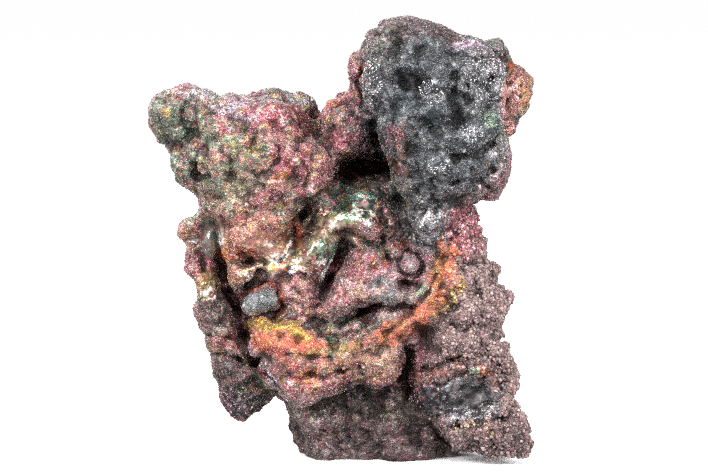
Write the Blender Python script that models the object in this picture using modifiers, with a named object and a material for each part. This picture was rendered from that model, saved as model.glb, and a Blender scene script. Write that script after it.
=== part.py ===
"""Iridescent goethite stalactite: one lumpy mineral specimen, grown in one piece.

The specimen stands upright on the flat break of its root. Two heads hang over a
waist: a broad lobe at the left and a dark knob at the upper right. Below them a
column, a block of folds and shelves and a knobbly right mass run down to the break.

Frame: metres, +Z up, the show face looks along -Y, the origin lies on the break.
Every mass is an outline seen from the front, blown up to a rounded body by balls
that touch the outline from inside. Outlines are read along a sight line that
falls 5 degrees, so a mass that lies further back sits lower than it is seen.
"""
import math
from collections import namedtuple

import bmesh
import bpy
import numpy as np
from mathutils import Matrix, Vector

# All lengths below are millimetres; MM turns them to metres where a mesh is made.
MM = 0.001
SIGHT_FALL = math.tan(math.radians(5.0))
BALL_STEP = 0.9
SMALLEST_BALL = 0.45
LARGE_BALL = 2.0
SKIN = -0.05
VOXEL = 0.40
SHOW_SKIN = 5.0
TRIANGLES = 9600
# Noise on the skin: texture kind, grain and height. Voronoi cells swell into knobs.
ROUGHNESS = [("CLOUDS", 3.0, 1.6), ("VORONOI", 2.4, -1.4)]
HOLLOW_ROUGHNESS = ("CLOUDS", 2.0, 0.4)
# Tarnished goethite: a dark steel grey with a red-brown cast and a half-metallic shine.
STONE_COLOUR = (0.115, 0.085, 0.085, 1.0)
STONE_ROUGHNESS = 0.38
STONE_METALLIC = 0.6

# y is the depth of the middle of a mass, plump its half thickness for each mm of half width,
# and the outline holds (x, height) pairs.
Mass = namedtuple("Mass", "name y plump outline")

MASSES = [
    Mass("core", 3.4, 0.56, [
        (-15.5, 34.0), (-9.0, 35.5), (-1.0, 34.0), (6.0, 40.0), (14.0, 39.0), (15.0, 28.0), (12.5, 24.5),
        (13.0, 16.0), (16.0, 8.0), (16.0, 2.0), (8.0, 1.0), (-1.0, 2.0), (-8.0, 7.0), (-11.5, 12.0),
        (-12.5, 18.0), (-11.5, 23.0), (-13.5, 27.0)]),
    Mass("lobe", -2.0, 0.85, [
        (-19.3, 34.8), (-18.2, 36.2), (-17.0, 37.2), (-16.0, 37.8), (-14.5, 37.8), (-12.5, 37.0),
        (-10.2, 36.5), (-8.5, 36.3), (-6.8, 36.0), (-4.8, 35.6), (-3.2, 34.6), (-2.2, 32.8), (-1.0, 30.8),
        (0.2, 29.8), (-0.4, 28.2), (-1.2, 26.8), (-2.4, 25.8), (-3.7, 24.6), (-5.0, 23.4), (-6.0, 22.5),
        (-9.0, 22.2), (-12.5, 23.8), (-13.8, 25.2), (-14.0, 26.5), (-15.4, 27.0), (-16.2, 27.8),
        (-16.7, 29.0), (-17.0, 30.5), (-17.0, 31.8), (-17.8, 32.2), (-18.8, 33.2)]),
    Mass("horn", -3.4, 1.0, [
        (-19.2, 34.8), (-18.2, 36.2), (-17.0, 37.2), (-16.0, 37.8), (-14.5, 37.8), (-12.8, 37.0),
        (-13.4, 34.4), (-15.6, 32.6), (-18.0, 32.4), (-18.9, 33.4)]),
    Mass("horn_cheek", -3.0, 1.5, [
        (-17.0, 31.6), (-15.4, 32.2), (-13.9, 31.0), (-13.9, 27.4), (-15.2, 27.0), (-16.2, 28.0),
        (-16.8, 29.4)]),
    Mass("lobe_brow", -5.0, 1.0, [
        (-12.4, 35.6), (-8.6, 35.6), (-4.6, 34.8), (-3.6, 33.0), (-5.0, 31.4), (-9.0, 32.4), (-12.6, 33.2)]),
    Mass("lobe_right", -4.4, 1.0, [
        (-4.6, 31.4), (-2.0, 31.6), (-0.6, 29.4), (-1.6, 26.8), (-4.0, 25.0), (-5.6, 27.0), (-5.4, 29.6)]),
    Mass("belly", -3.2, 1.2, [
        (-14.0, 26.5), (-10.5, 28.0), (-5.5, 26.5), (-4.4, 23.8), (-5.3, 22.0), (-6.4, 20.8), (-7.8, 20.1),
        (-10.0, 19.6), (-11.6, 19.8), (-11.8, 21.5), (-11.8, 23.2), (-13.2, 24.4)]),
    Mass("back_ridge", 3.2, 0.9, [
        (-10.0, 36.2), (-8.8, 36.8), (-7.7, 37.2), (-6.8, 37.3), (-5.0, 36.7), (-3.8, 36.4), (-2.8, 36.2),
        (-2.3, 35.4), (-1.6, 34.8), (-1.8, 32.0), (-4.0, 30.0), (-8.0, 31.0), (-10.0, 33.5)]),
    Mass("ramp", -2.5, 1.0, [
        (-2.2, 33.2), (-1.7, 34.7), (-0.9, 35.6), (0.0, 36.0), (0.1, 37.4), (0.4, 39.0), (0.9, 40.2),
        (2.2, 40.8), (3.4, 40.0), (3.2, 36.0), (3.2, 33.5), (2.6, 32.2), (1.5, 31.0), (0.4, 29.8),
        (-1.0, 30.5), (-2.0, 31.8)]),
    Mass("ramp_back", 2.5, 1.2, [
        (-1.4, 35.7), (-0.9, 36.6), (-0.2, 37.2), (0.6, 37.6), (2.0, 38.0), (2.5, 34.0), (0.5, 33.0),
        (-1.2, 34.5)]),
    Mass("knob", -4.2, 1.0, [
        (2.2, 38.5), (2.0, 40.2), (2.1, 41.4), (2.5, 42.1), (3.2, 42.9), (3.6, 43.6), (4.5, 44.0),
        (6.0, 44.1), (8.0, 43.9), (9.8, 43.0), (11.5, 42.0), (13.8, 41.7), (14.8, 40.8), (16.0, 39.8),
        (16.8, 38.5), (16.5, 36.8), (16.0, 35.2), (15.9, 33.2), (16.8, 31.8), (17.0, 30.4), (16.8, 28.8),
        (16.5, 27.2), (15.4, 26.2), (14.0, 26.0), (12.0, 25.8), (10.0, 25.5), (7.5, 25.6), (6.0, 26.2),
        (5.0, 27.4), (4.6, 29.2), (4.6, 31.0), (3.8, 32.2), (3.0, 33.8), (2.3, 36.0)]),
    Mass("knob_crown", -0.5, 0.9, [
        (3.2, 42.8), (3.4, 43.6), (3.8, 44.2), (5.0, 44.5), (6.2, 44.7), (7.8, 44.5), (9.0, 44.2),
        (10.0, 43.6), (10.8, 43.0), (11.6, 42.5), (12.3, 42.0), (12.3, 39.0), (10.0, 37.0), (6.0, 37.0),
        (3.5, 40.0)]),
    Mass("knob_corner", 0.5, 1.0, [
        (12.5, 42.0), (13.8, 42.3), (15.2, 42.6), (16.6, 42.6), (16.4, 41.2), (16.8, 40.4), (17.2, 39.6),
        (16.5, 38.0), (14.0, 38.0), (12.5, 40.0)]),
    Mass("knob_fin", 1.0, 1.1, [
        (16.0, 40.2), (17.2, 39.8), (18.5, 39.5), (19.2, 39.0), (19.4, 38.2), (19.3, 37.0), (18.9, 35.7),
        (18.1, 34.8), (17.3, 33.9), (17.0, 32.5), (16.8, 31.0), (15.5, 31.0), (15.0, 35.0), (15.2, 38.5)]),
    Mass("knob_back", 3.0, 1.0, [
        (3.5, 41.0), (6.0, 43.0), (11.0, 41.5), (15.0, 40.0), (17.0, 37.0), (16.5, 33.0), (17.3, 30.4),
        (17.4, 29.4), (16.9, 28.2), (16.0, 26.8), (13.0, 26.0), (8.0, 26.0), (5.0, 28.0), (3.5, 32.0),
        (2.8, 37.0)]),
    Mass("chin", -4.2, 1.3, [
        (6.2, 26.4), (8.5, 26.8), (11.5, 26.4), (14.4, 26.0), (14.4, 25.4), (13.8, 24.8), (12.2, 24.6),
        (11.2, 23.6), (10.4, 22.6), (9.2, 21.9), (7.8, 21.9), (6.9, 22.6), (6.4, 23.8), (6.3, 25.2)]),
    Mass("slope", -0.5, 1.15, [
        (-4.8, 22.0), (-4.2, 23.6), (-2.8, 25.4), (-1.0, 26.8), (0.5, 28.0), (4.8, 28.2), (5.8, 26.5),
        (6.5, 25.0), (6.8, 22.5), (6.2, 21.4), (4.8, 20.8), (3.0, 21.0), (1.0, 21.4), (0.0, 20.8),
        (-1.0, 19.6), (-2.2, 19.2), (-3.8, 19.6), (-4.7, 20.6)]),
    Mass("slope_lip", -3.0, 1.3, [
        (-4.6, 22.4), (-3.0, 23.5), (-1.0, 23.8), (0.4, 22.8), (0.2, 21.4), (-0.6, 20.2), (-1.5, 19.3),
        (-2.8, 19.1), (-4.0, 19.8), (-4.7, 21.0)]),
    Mass("pale_lumps", -3.6, 1.4, [
        (-8.6, 20.0), (-6.8, 21.4), (-5.2, 22.0), (-4.0, 21.0), (-4.2, 19.2), (-6.0, 18.6), (-8.0, 18.8)]),
    Mass("chin_root", -1.6, 1.0, [
        (6.0, 25.0), (9.0, 25.0), (13.6, 25.0), (13.4, 22.0), (12.0, 19.0), (8.0, 19.0), (6.0, 21.5)]),
    Mass("ledge_top", -0.5, 1.3, [
        (-16.5, 22.8), (-16.3, 23.6), (-15.8, 24.2), (-14.8, 24.6), (-13.8, 24.6), (-13.0, 23.8),
        (-13.2, 22.0), (-14.0, 21.0), (-15.2, 21.2), (-16.0, 21.9)]),
    Mass("ledge_low", -0.5, 1.3, [
        (-15.6, 21.4), (-14.4, 21.6), (-12.8, 20.6), (-12.4, 19.8), (-13.2, 19.0), (-14.2, 18.3),
        (-15.0, 18.0), (-15.4, 19.0), (-15.8, 20.0)]),
    Mass("gloss_top", -2.2, 1.6, [
        (-13.4, 24.0), (-12.4, 24.4), (-11.6, 23.6), (-11.4, 22.0), (-11.8, 20.8), (-12.8, 20.6),
        (-13.4, 21.6)]),
    Mass("gloss_low", -2.2, 1.6, [
        (-14.4, 18.4), (-13.2, 19.4), (-12.2, 19.6), (-11.8, 18.0), (-11.8, 16.4), (-12.8, 15.8),
        (-13.8, 14.8), (-14.7, 15.2), (-14.9, 16.5)]),
    Mass("gloss_lip", -3.2, 1.4, [
        (-11.8, 19.8), (-10.0, 20.2), (-7.8, 19.8), (-7.8, 18.5), (-9.0, 17.5), (-10.4, 16.3),
        (-11.2, 17.5), (-11.8, 18.8)]),
    Mass("ledge_back", 0.8, 1.2, [
        (-15.2, 24.2), (-13.0, 26.4), (-9.0, 26.0), (-9.0, 20.0), (-12.0, 18.4), (-14.8, 20.6)]),
    Mass("left_filling", 1.5, 0.9, [
        (-14.5, 23.5), (-8.0, 24.0), (-6.0, 14.0), (-6.0, 7.0), (-9.5, 5.5), (-11.8, 8.0), (-13.8, 15.0)]),
    Mass("column", -1.2, 1.3, [
        (-14.9, 16.0), (-13.7, 16.2), (-11.8, 16.4), (-10.7, 16.0), (-10.0, 14.5), (-9.6, 12.5),
        (-9.2, 11.0), (-8.3, 9.2), (-7.0, 7.2), (-5.6, 6.0), (-5.8, 5.5), (-7.8, 4.9), (-9.4, 4.2),
        (-10.4, 3.9), (-11.1, 4.3), (-11.4, 5.2), (-12.1, 5.8), (-12.4, 7.2), (-12.6, 8.6),
        (-12.9, 10.0), (-13.4, 11.3), (-14.0, 12.7), (-14.3, 13.8), (-14.9, 14.8)]),
    Mass("grey_facet", -4.4, 1.1, [
        (-10.2, 16.2), (-8.8, 17.2), (-7.2, 17.8), (-5.8, 17.0), (-5.6, 15.5), (-6.8, 14.2), (-9.0, 13.8),
        (-9.7, 14.8)]),
    Mass("pink_folds", -3.6, 1.2, [
        (-7.8, 19.2), (-6.0, 19.4), (-4.0, 19.2), (-2.2, 18.4), (-1.8, 16.8), (-2.4, 15.5), (-1.0, 14.2),
        (-2.0, 13.5), (-4.4, 14.0), (-6.4, 14.2), (-5.6, 16.0), (-6.4, 17.5)]),
    Mass("gold_shelf", -4.4, 1.3, [
        (-9.4, 14.2), (-7.8, 14.0), (-5.0, 14.4), (-2.8, 13.4), (-1.0, 12.6), (0.8, 11.8), (1.0, 10.4),
        (-2.0, 9.6), (-4.8, 9.2), (-7.0, 9.8), (-8.4, 11.0), (-9.3, 12.5)]),
    Mass("low_face", -4.6, 1.0, [
        (-2.0, 13.0), (3.0, 12.8), (6.2, 12.6), (6.4, 10.4), (5.6, 8.4), (2.0, 8.2), (-2.0, 8.4)]),
    Mass("low_block", -3.0, 1.3, [
        (-9.0, 11.5), (-4.0, 12.0), (1.0, 12.0), (5.8, 11.5), (6.2, 9.8), (5.8, 8.0), (4.5, 7.2),
        (2.0, 7.6), (0.5, 7.2), (-0.5, 6.0), (-2.2, 5.6), (-4.0, 5.3), (-5.4, 5.6), (-6.5, 6.8),
        (-7.8, 8.8)]),
    Mass("tongue", -4.4, 1.3, [
        (-2.2, 16.0), (-1.0, 17.0), (0.5, 17.8), (1.8, 17.9), (3.2, 17.4), (5.0, 17.2), (7.0, 17.3),
        (8.8, 17.7), (9.6, 17.0), (9.0, 15.8), (7.2, 15.0), (5.0, 14.9), (3.4, 15.6), (1.6, 15.0),
        (0.0, 14.2), (-1.5, 14.2)]),
    Mass("inner_wall", -1.4, 1.0, [
        (-1.5, 19.5), (0.5, 21.5), (6.0, 22.0), (10.5, 22.0), (11.0, 15.0), (6.0, 10.0), (-1.0, 10.0),
        (-2.5, 14.0)]),
    Mass("slit_lumps", -3.0, 1.2, [
        (0.6, 21.0), (2.0, 21.6), (3.8, 21.4), (5.2, 21.0), (5.4, 19.8), (4.6, 18.0), (3.2, 17.2),
        (1.2, 17.6), (0.3, 18.5)]),
    Mass("nodule_seat", -3.0, 1.1, [
        (4.8, 19.8), (5.4, 21.0), (6.8, 21.7), (9.0, 21.7), (10.2, 21.0), (10.0, 19.0), (9.2, 17.6),
        (7.2, 17.2), (5.4, 17.5), (4.8, 18.5)]),
    Mass("low_fold", -4.4, 1.1, [
        (0.2, 12.5), (1.6, 13.4), (3.4, 14.6), (5.2, 14.8), (7.2, 14.8), (9.0, 15.5), (10.0, 16.8),
        (10.8, 16.0), (10.0, 14.2), (8.0, 12.8), (5.6, 12.0), (3.0, 11.6), (1.0, 11.5)]),
    Mass("right_mass", -1.0, 1.1, [
        (10.6, 22.8), (11.8, 24.5), (13.0, 25.2), (13.8, 25.4), (13.4, 24.0), (13.7, 22.3), (14.2, 21.0),
        (14.4, 19.6), (15.2, 19.0), (15.4, 17.6), (16.3, 17.4), (17.2, 16.3), (17.2, 15.0), (16.3, 13.9),
        (15.4, 12.7), (15.8, 11.5), (16.8, 10.8), (17.2, 9.5), (17.8, 8.2), (18.1, 6.9), (17.5, 6.2),
        (17.8, 4.8), (18.6, 4.0), (18.8, 2.8), (18.2, 1.6), (17.2, 1.0), (16.5, 0.4), (15.7, 0.1),
        (14.4, 0.4), (13.0, 1.2), (11.0, 2.5), (8.5, 4.0), (6.8, 5.5), (6.2, 7.5), (6.4, 10.0),
        (7.5, 12.0), (8.8, 13.8), (10.0, 16.0), (10.6, 18.0), (10.6, 20.5)]),
    Mass("neck", -0.6, 1.2, [
        (10.4, 26.4), (14.6, 26.0), (14.0, 24.0), (14.0, 22.2), (14.6, 20.4), (14.4, 17.6), (10.0, 18.0)]),
    Mass("right_face", -3.6, 0.8, [
        (10.4, 22.0), (12.8, 22.4), (13.8, 19.4), (15.4, 16.4), (14.8, 13.0), (16.4, 9.0), (15.4, 7.0),
        (9.0, 9.5), (7.6, 11.4), (9.2, 14.0), (10.4, 17.0)]),
    Mass("rim", -4.2, 1.3, [
        (9.6, 21.5), (10.6, 22.0), (12.2, 21.0), (12.4, 18.5), (11.5, 16.2), (10.0, 14.2), (8.5, 12.8),
        (6.0, 11.8), (4.5, 12.2), (7.0, 13.8), (8.8, 15.5), (9.8, 17.5), (10.0, 19.5)]),
    Mass("eye_arch", -4.8, 1.7, [
        (7.5, 8.8), (9.0, 9.4), (11.0, 10.0), (13.0, 10.0), (14.6, 9.4), (15.8, 8.4), (15.6, 7.4),
        (14.0, 8.0), (12.2, 8.6), (10.5, 8.2), (9.0, 7.6), (7.6, 7.6)]),
    Mass("dark_lump", -4.4, 1.5, [
        (7.2, 6.8), (8.0, 7.7), (9.2, 8.0), (10.0, 7.4), (10.2, 6.0), (9.8, 4.8), (8.4, 4.6), (7.4, 5.4)]),
    Mass("foot", -3.2, 1.3, [
        (10.0, 4.5), (12.0, 5.0), (15.0, 5.8), (17.5, 5.8), (18.6, 4.0), (18.7, 2.7), (18.0, 1.4),
        (16.0, 0.3), (14.4, 0.4), (12.8, 1.4), (11.0, 2.6)]),
    Mass("back_head_right", 6.0, 0.85, [
        (5.0, 40.0), (10.0, 41.5), (14.0, 39.5), (15.5, 35.0), (15.0, 30.0), (12.0, 27.0), (7.0, 27.5),
        (4.5, 31.0), (4.0, 36.0)]),
    Mass("back_head_left", 5.2, 0.75, [
        (-15.0, 33.6), (-12.0, 35.4), (-8.0, 35.2), (-4.0, 34.6), (-3.0, 31.0), (-5.0, 27.0), (-9.0, 25.0),
        (-12.6, 26.2), (-14.8, 30.0)]),
    Mass("back_saddle", 6.4, 0.95, [
        (-4.0, 33.0), (0.0, 34.0), (4.0, 33.6), (6.0, 29.0), (4.0, 25.0), (-2.0, 24.0), (-5.0, 28.0)]),
    Mass("back_waist", 6.6, 0.8, [
        (-8.0, 24.0), (-2.0, 26.0), (6.0, 26.0), (10.0, 23.0), (10.0, 17.0), (4.0, 14.0), (-4.0, 14.0),
        (-9.0, 18.0)]),
    Mass("back_shelf", 9.4, 1.0, [
        (-5.0, 21.6), (3.0, 22.4), (7.0, 20.4), (5.0, 18.0), (-3.0, 17.4)]),
    Mass("back_low_left", 6.0, 0.95, [
        (-9.0, 17.0), (-4.0, 18.0), (0.0, 15.0), (0.0, 8.0), (-4.0, 5.6), (-8.0, 7.4), (-10.0, 12.0)]),
    Mass("back_low_right", 6.2, 0.95, [
        (2.0, 17.0), (8.0, 18.0), (13.0, 16.0), (15.0, 10.0), (13.0, 4.0), (7.0, 2.0), (2.0, 6.0),
        (1.0, 12.0)]),
    Mass("root", 3.2, 0.8, [
        (-7.0, 7.0), (-5.4, 4.6), (-5.0, 2.6), (-3.8, 1.2), (-3.8, -3.5), (9.0, -3.5), (10.0, -1.0),
        (12.4, 1.0), (12.0, 8.0), (-4.0, 9.0)]),
    Mass("root_left", 0.2, 0.9, [
        (-5.4, 6.4), (-4.2, 3.0), (-3.4, 0.8), (-2.8, -2.6), (1.4, -2.6), (2.2, 1.4), (1.0, 4.4),
        (0.0, 7.0)]),
    Mass("root_right", 0.6, 0.9, [
        (3.6, 7.0), (3.0, 3.0), (4.2, -2.4), (9.4, -2.4), (10.4, 1.0), (9.6, 5.0), (8.0, 7.5)]),
]

# A hollow is an ellipsoid cut away; roll is in degrees about Y.
Hollow = namedtuple("Hollow", "name centre half_sizes roll")

HOLLOWS = [
    Hollow("cave", (2.4, -4.0, 29.3), (2.8, 6.0, 1.8), -8),
    Hollow("recess", (6.7, -7.5, 8.6), (1.1, 6.0, 2.8), 10),
    Hollow("eye", (12.5, -8.6, 7.0), (2.4, 2.6, 1.4), 0),
    Hollow("underside", (2.8, -7.0, 5.2), (4.0, 5.0, 1.9), 0),
]

# A line pressed into the show face, or raised where its depth is negative.
Stroke = namedtuple("Stroke", "name half_width depth points")

STROKES = [
    Stroke("slit", 0.9, 5.0, [(0.3, 21.4), (-0.2, 19.4), (-1.6, 17.0)]),
    Stroke("slit_star", 0.5, 1.5, [(-1.0, 21.4), (1.4, 21.4)]),
    Stroke("fold_slit", 0.8, 4.0, [(0.3, 13.8), (2.0, 14.6), (3.6, 15.5)]),
    Stroke("column_gap", 0.9, 4.5, [(-11.9, 19.8), (-11.4, 17.2), (-10.2, 14.6), (-9.6, 12.0)]),
    Stroke("lobe_gap", 0.8, 3.5, [(-3.2, 25.2), (-4.6, 23.4), (-5.3, 22.0)]),
    Stroke("horn_groove", 1.2, 0.9, [(-13.4, 30.6), (-13.8, 27.4)]),
    Stroke("knob_flank", 0.8, 0.9, [(5.8, 42.0), (4.4, 39.6), (3.8, 37.6)]),
    Stroke("knob_furrow", 1.0, 1.1, [(10.4, 38.2), (10.8, 35.8), (11.6, 33.6)]),
    Stroke("knob_pillar", 0.8, -0.6, [(9.4, 39.2), (9.6, 36.4)]),
    Stroke("knob_pocket", 1.6, 1.3, [(8.2, 37.0), (8.8, 35.8)]),
    Stroke("knob_dark", 1.8, 1.0, [(6.4, 37.2), (6.8, 37.6)]),
    Stroke("knob_ledge", 0.7, 0.9, [(14.0, 35.0), (15.6, 35.0)]),
    Stroke("knob_band", 0.8, 0.9, [(16.0, 32.0), (14.0, 30.4), (11.6, 29.6)]),
    Stroke("knob_pits", 0.9, 1.2, [(13.0, 29.2), (14.8, 28.8)]),
    Stroke("knob_root", 0.8, 1.0, [(5.8, 26.2), (9.0, 26.2), (12.6, 25.8)]),
    Stroke("nodule_slit", 0.8, 2.2, [(4.8, 17.6), (6.8, 17.5)]),
    Stroke("nodule_ring", 0.6, 0.9, [(5.0, 19.0), (5.6, 20.8), (7.6, 20.9), (8.2, 19.4)]),
    Stroke("fold_line", 0.6, 1.0, [(3.8, 15.2), (6.6, 15.0)]),
    Stroke("arch_foot", 0.7, 1.2, [(8.2, 13.0), (8.6, 11.6), (9.6, 10.4)]),
]


def clear_scene():
    """Start from an empty scene."""
    for obj in list(bpy.data.objects):
        bpy.data.objects.remove(obj)


def unit_ball(detail):
    """Corners and faces of an icosphere of radius 1."""
    bm = bmesh.new()
    bmesh.ops.create_icosphere(bm, subdivisions=detail, radius=1.0)
    corners = np.array([vertex.co for vertex in bm.verts])
    faces = np.array([[vertex.index for vertex in face.verts] for face in bm.faces])
    bm.free()
    return corners, faces


class Heap:
    """A growing pile of overlapping closed balls, later fused to one skin."""

    def __init__(self):
        self.templates = {detail: unit_ball(detail) for detail in (2, 3)}
        self.corners = []
        self.faces = []
        self.count = 0

    def ball(self, centre, half_sizes, roll=0.0):
        """Add one ellipsoid; centre and half sizes are in millimetres, roll in degrees about Y."""
        corners, faces = self.templates[3 if max(half_sizes) > LARGE_BALL else 2]
        turn = np.array(Matrix.Rotation(math.radians(roll), 3, "Y"))
        self.corners.append((corners * half_sizes @ turn.T + centre) * MM)
        self.faces.append(faces + self.count)
        self.count += len(corners)

    def to_object(self, name, collection):
        """Make the pile one object."""
        mesh = bpy.data.meshes.new(name)
        mesh.from_pydata(np.concatenate(self.corners), [], np.concatenate(self.faces).tolist())
        obj = bpy.data.objects.new(name, mesh)
        collection.objects.link(obj)
        return obj


def edges_of(outline):
    """Pairs of neighbouring outline points."""
    return list(zip(outline, outline[1:] + outline[:1]))


def is_inside(outline, x, height):
    """Even-odd test of a point against a closed outline."""
    inside = False
    for (x0, h0), (x1, h1) in edges_of(outline):
        if (h0 > height) != (h1 > height) and x < x0 + (height - h0) * (x1 - x0) / (h1 - h0):
            inside = not inside
    return inside


def distance_to(outline, x, height):
    """Distance from a point to the nearest edge of an outline."""
    point = Vector((x, height))
    best = math.inf
    for start, end in edges_of(outline):
        start = Vector(start)
        along = Vector(end) - start
        share = max(0.0, min(1.0, (point - start).dot(along) / along.length_squared))
        best = min(best, (start + share * along - point).length)
    return best


def blow_up(heap, mass):
    """Fill a mass with balls whose radius is their distance to its outline."""
    xs = [x for x, _ in mass.outline]
    heights = [height for _, height in mass.outline]
    for column in range(math.ceil((max(xs) - min(xs)) / BALL_STEP)):
        for row in range(math.ceil((max(heights) - min(heights)) / BALL_STEP)):
            x = min(xs) + (column + 0.5) * BALL_STEP
            height = min(heights) + (row + 0.5) * BALL_STEP
            if not is_inside(mass.outline, x, height):
                continue
            radius = distance_to(mass.outline, x, height) + SKIN
            if radius > SMALLEST_BALL:
                centre = (x, mass.y, height - SIGHT_FALL * mass.y)
                heap.ball(centre, (radius, radius * mass.plump, radius))


def stroke_distance(points, x, height):
    """Distance of many surface points, seen from the front, to a line of straight runs."""
    best = np.full(len(x), math.inf)
    seen = np.stack((x, height), axis=1)
    for start, end in zip(points, points[1:]):
        start = np.array(start)
        along = np.array(end) - start
        share = np.clip((seen - start) @ along / (along @ along), 0.0, 1.0)
        best = np.minimum(best, np.linalg.norm(seen - start - share[:, None] * along, axis=1))
    return best


def press(obj, strokes):
    """Push the show face in along lines, as a tool would; a negative depth raises a ridge."""
    mesh = obj.data
    places = np.zeros(len(mesh.vertices) * 3)
    mesh.vertices.foreach_get("co", places)
    places = places.reshape(-1, 3)
    normals = np.zeros(len(mesh.vertices) * 3)
    mesh.vertex_normals.foreach_get("vector", normals)
    facing = np.clip(-normals.reshape(-1, 3)[:, 1] * 2.0, 0.0, 1.0) * (places[:, 1] < SHOW_SKIN * MM)
    x = places[:, 0] / MM
    height = (places[:, 2] + SIGHT_FALL * places[:, 1]) / MM
    for stroke in strokes:
        away = stroke_distance(stroke.points, x, height) / stroke.half_width
        fall = np.clip(1.0 - away * away, 0.0, 1.0) ** 2
        places[:, 1] += fall * facing * stroke.depth * MM
    mesh.vertices.foreach_set("co", places.ravel())
    mesh.update()


def remesh(obj):
    """Fuse everything in an object to one skin of even faces."""
    modifier = obj.modifiers.new("Remesh", "REMESH")
    modifier.mode = "VOXEL"
    modifier.voxel_size = VOXEL * MM


def smooth(obj, rounds):
    """Soften the steps left where masses meet."""
    modifier = obj.modifiers.new("Smooth", "SMOOTH")
    modifier.iterations = rounds


def roughen(obj, kind, grain, height):
    """Push the skin in and out by a noise."""
    texture = bpy.data.textures.new(obj.name + "_" + kind.lower(), kind)
    texture.noise_scale = grain * MM
    modifier = obj.modifiers.new("Roughen", "DISPLACE")
    modifier.texture = texture
    modifier.texture_coords = "LOCAL"
    modifier.strength = height * MM


def baked(obj, name, collection):
    """Replace an object by a plain one that holds its evaluated mesh."""
    evaluated = obj.evaluated_get(bpy.context.evaluated_depsgraph_get())
    mesh = bpy.data.meshes.new_from_object(evaluated)
    bpy.data.objects.remove(obj)
    result = bpy.data.objects.new(name, mesh)
    collection.objects.link(result)
    return result


def keep_largest(obj):
    """Drop crumbs that the noise cut loose, and keep the biggest connected skin."""
    bm = bmesh.new()
    bm.from_mesh(obj.data)
    left = set(bm.verts)
    skins = []
    while left:
        skin = set()
        front = [left.pop()]
        while front:
            vertex = front.pop()
            skin.add(vertex)
            for edge in vertex.link_edges:
                other = edge.other_vert(vertex)
                if other in left:
                    left.discard(other)
                    front.append(other)
        skins.append(skin)
    skins.sort(key=len)
    bmesh.ops.delete(bm, geom=[v for skin in skins[:-1] for v in skin], context="VERTS")
    bm.to_mesh(obj.data)
    bm.free()


def hide(cutter):
    """Show a cutter as a wire only."""
    cutter.hide_render = True
    cutter.display_type = "WIRE"


def floor_cutter(collection):
    """A box whose top is the plane of the break, wider than the specimen."""
    width, depth = 80.0, 20.0
    bm = bmesh.new()
    place = Matrix.Translation((0.0, 0.0, -depth / 2 * MM))
    place = place @ Matrix.Diagonal((width * MM, width * MM, depth * MM, 1.0))
    bmesh.ops.create_cube(bm, size=1.0, matrix=place)
    mesh = bpy.data.meshes.new("floor_cutter")
    bm.to_mesh(mesh)
    bm.free()
    obj = bpy.data.objects.new("floor_cutter", mesh)
    collection.objects.link(obj)
    hide(obj)
    return obj


def hollows_cutter(collection):
    """The cave and the other deep hollows as one closed cutter."""
    heap = Heap()
    for hollow in HOLLOWS:
        heap.ball(hollow.centre, hollow.half_sizes, hollow.roll)
    obj = heap.to_object("hollows_cutter", collection)
    remesh(obj)
    roughen(obj, *HOLLOW_ROUGHNESS)
    remesh(obj)
    hide(obj)
    return obj


def cut(obj, cutter):
    """Take a cutter away from an object."""
    modifier = obj.modifiers.new("Cut", "BOOLEAN")
    modifier.operation = "DIFFERENCE"
    modifier.object = cutter


def stone_material():
    """The one finish of the plain solid."""
    material = bpy.data.materials.new("goethite")
    material.use_nodes = True
    shader = material.node_tree.nodes["Principled BSDF"]
    shader.inputs["Base Color"].default_value = STONE_COLOUR
    shader.inputs["Roughness"].default_value = STONE_ROUGHNESS
    shader.inputs["Metallic"].default_value = STONE_METALLIC
    return material


def build():
    """Model the specimen."""
    clear_scene()
    parts = bpy.data.collections.new("goethite_stalactite")
    cutters = bpy.data.collections.new("cutters")
    for collection in (parts, cutters):
        bpy.context.scene.collection.children.link(collection)

    heap = Heap()
    for mass in MASSES:
        blow_up(heap, mass)
    body = heap.to_object("body", parts)
    remesh(body)
    smooth(body, rounds=2)
    for noise in ROUGHNESS:
        roughen(body, *noise)
    body = baked(body, "body", parts)
    press(body, STROKES)

    remesh(body)
    cut(body, hollows_cutter(cutters))
    remesh(body)
    smooth(body, rounds=1)
    body = baked(body, "body", parts)
    keep_largest(body)

    reduce = body.modifiers.new("Decimate", "DECIMATE")
    reduce.ratio = TRIANGLES / (2 * len(body.data.polygons))
    cut(body, floor_cutter(cutters))
    stone = baked(body, "goethite_stalactite", parts)
    stone.data.shade_smooth()
    stone.data.materials.clear()
    stone.data.materials.append(stone_material())


build()
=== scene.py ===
# %% [markdown]
# # A goethite stalactite
#
# This lesson dresses one plain mineral solid as an iridescent goethite specimen. The solid
# already has the right lumps and hollows, so it is loaded as a fixed frame, and everything
# made here sits on it. Lengths are in millimetres, and MM turns them to metres.

# %% Load the solid
import math

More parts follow.
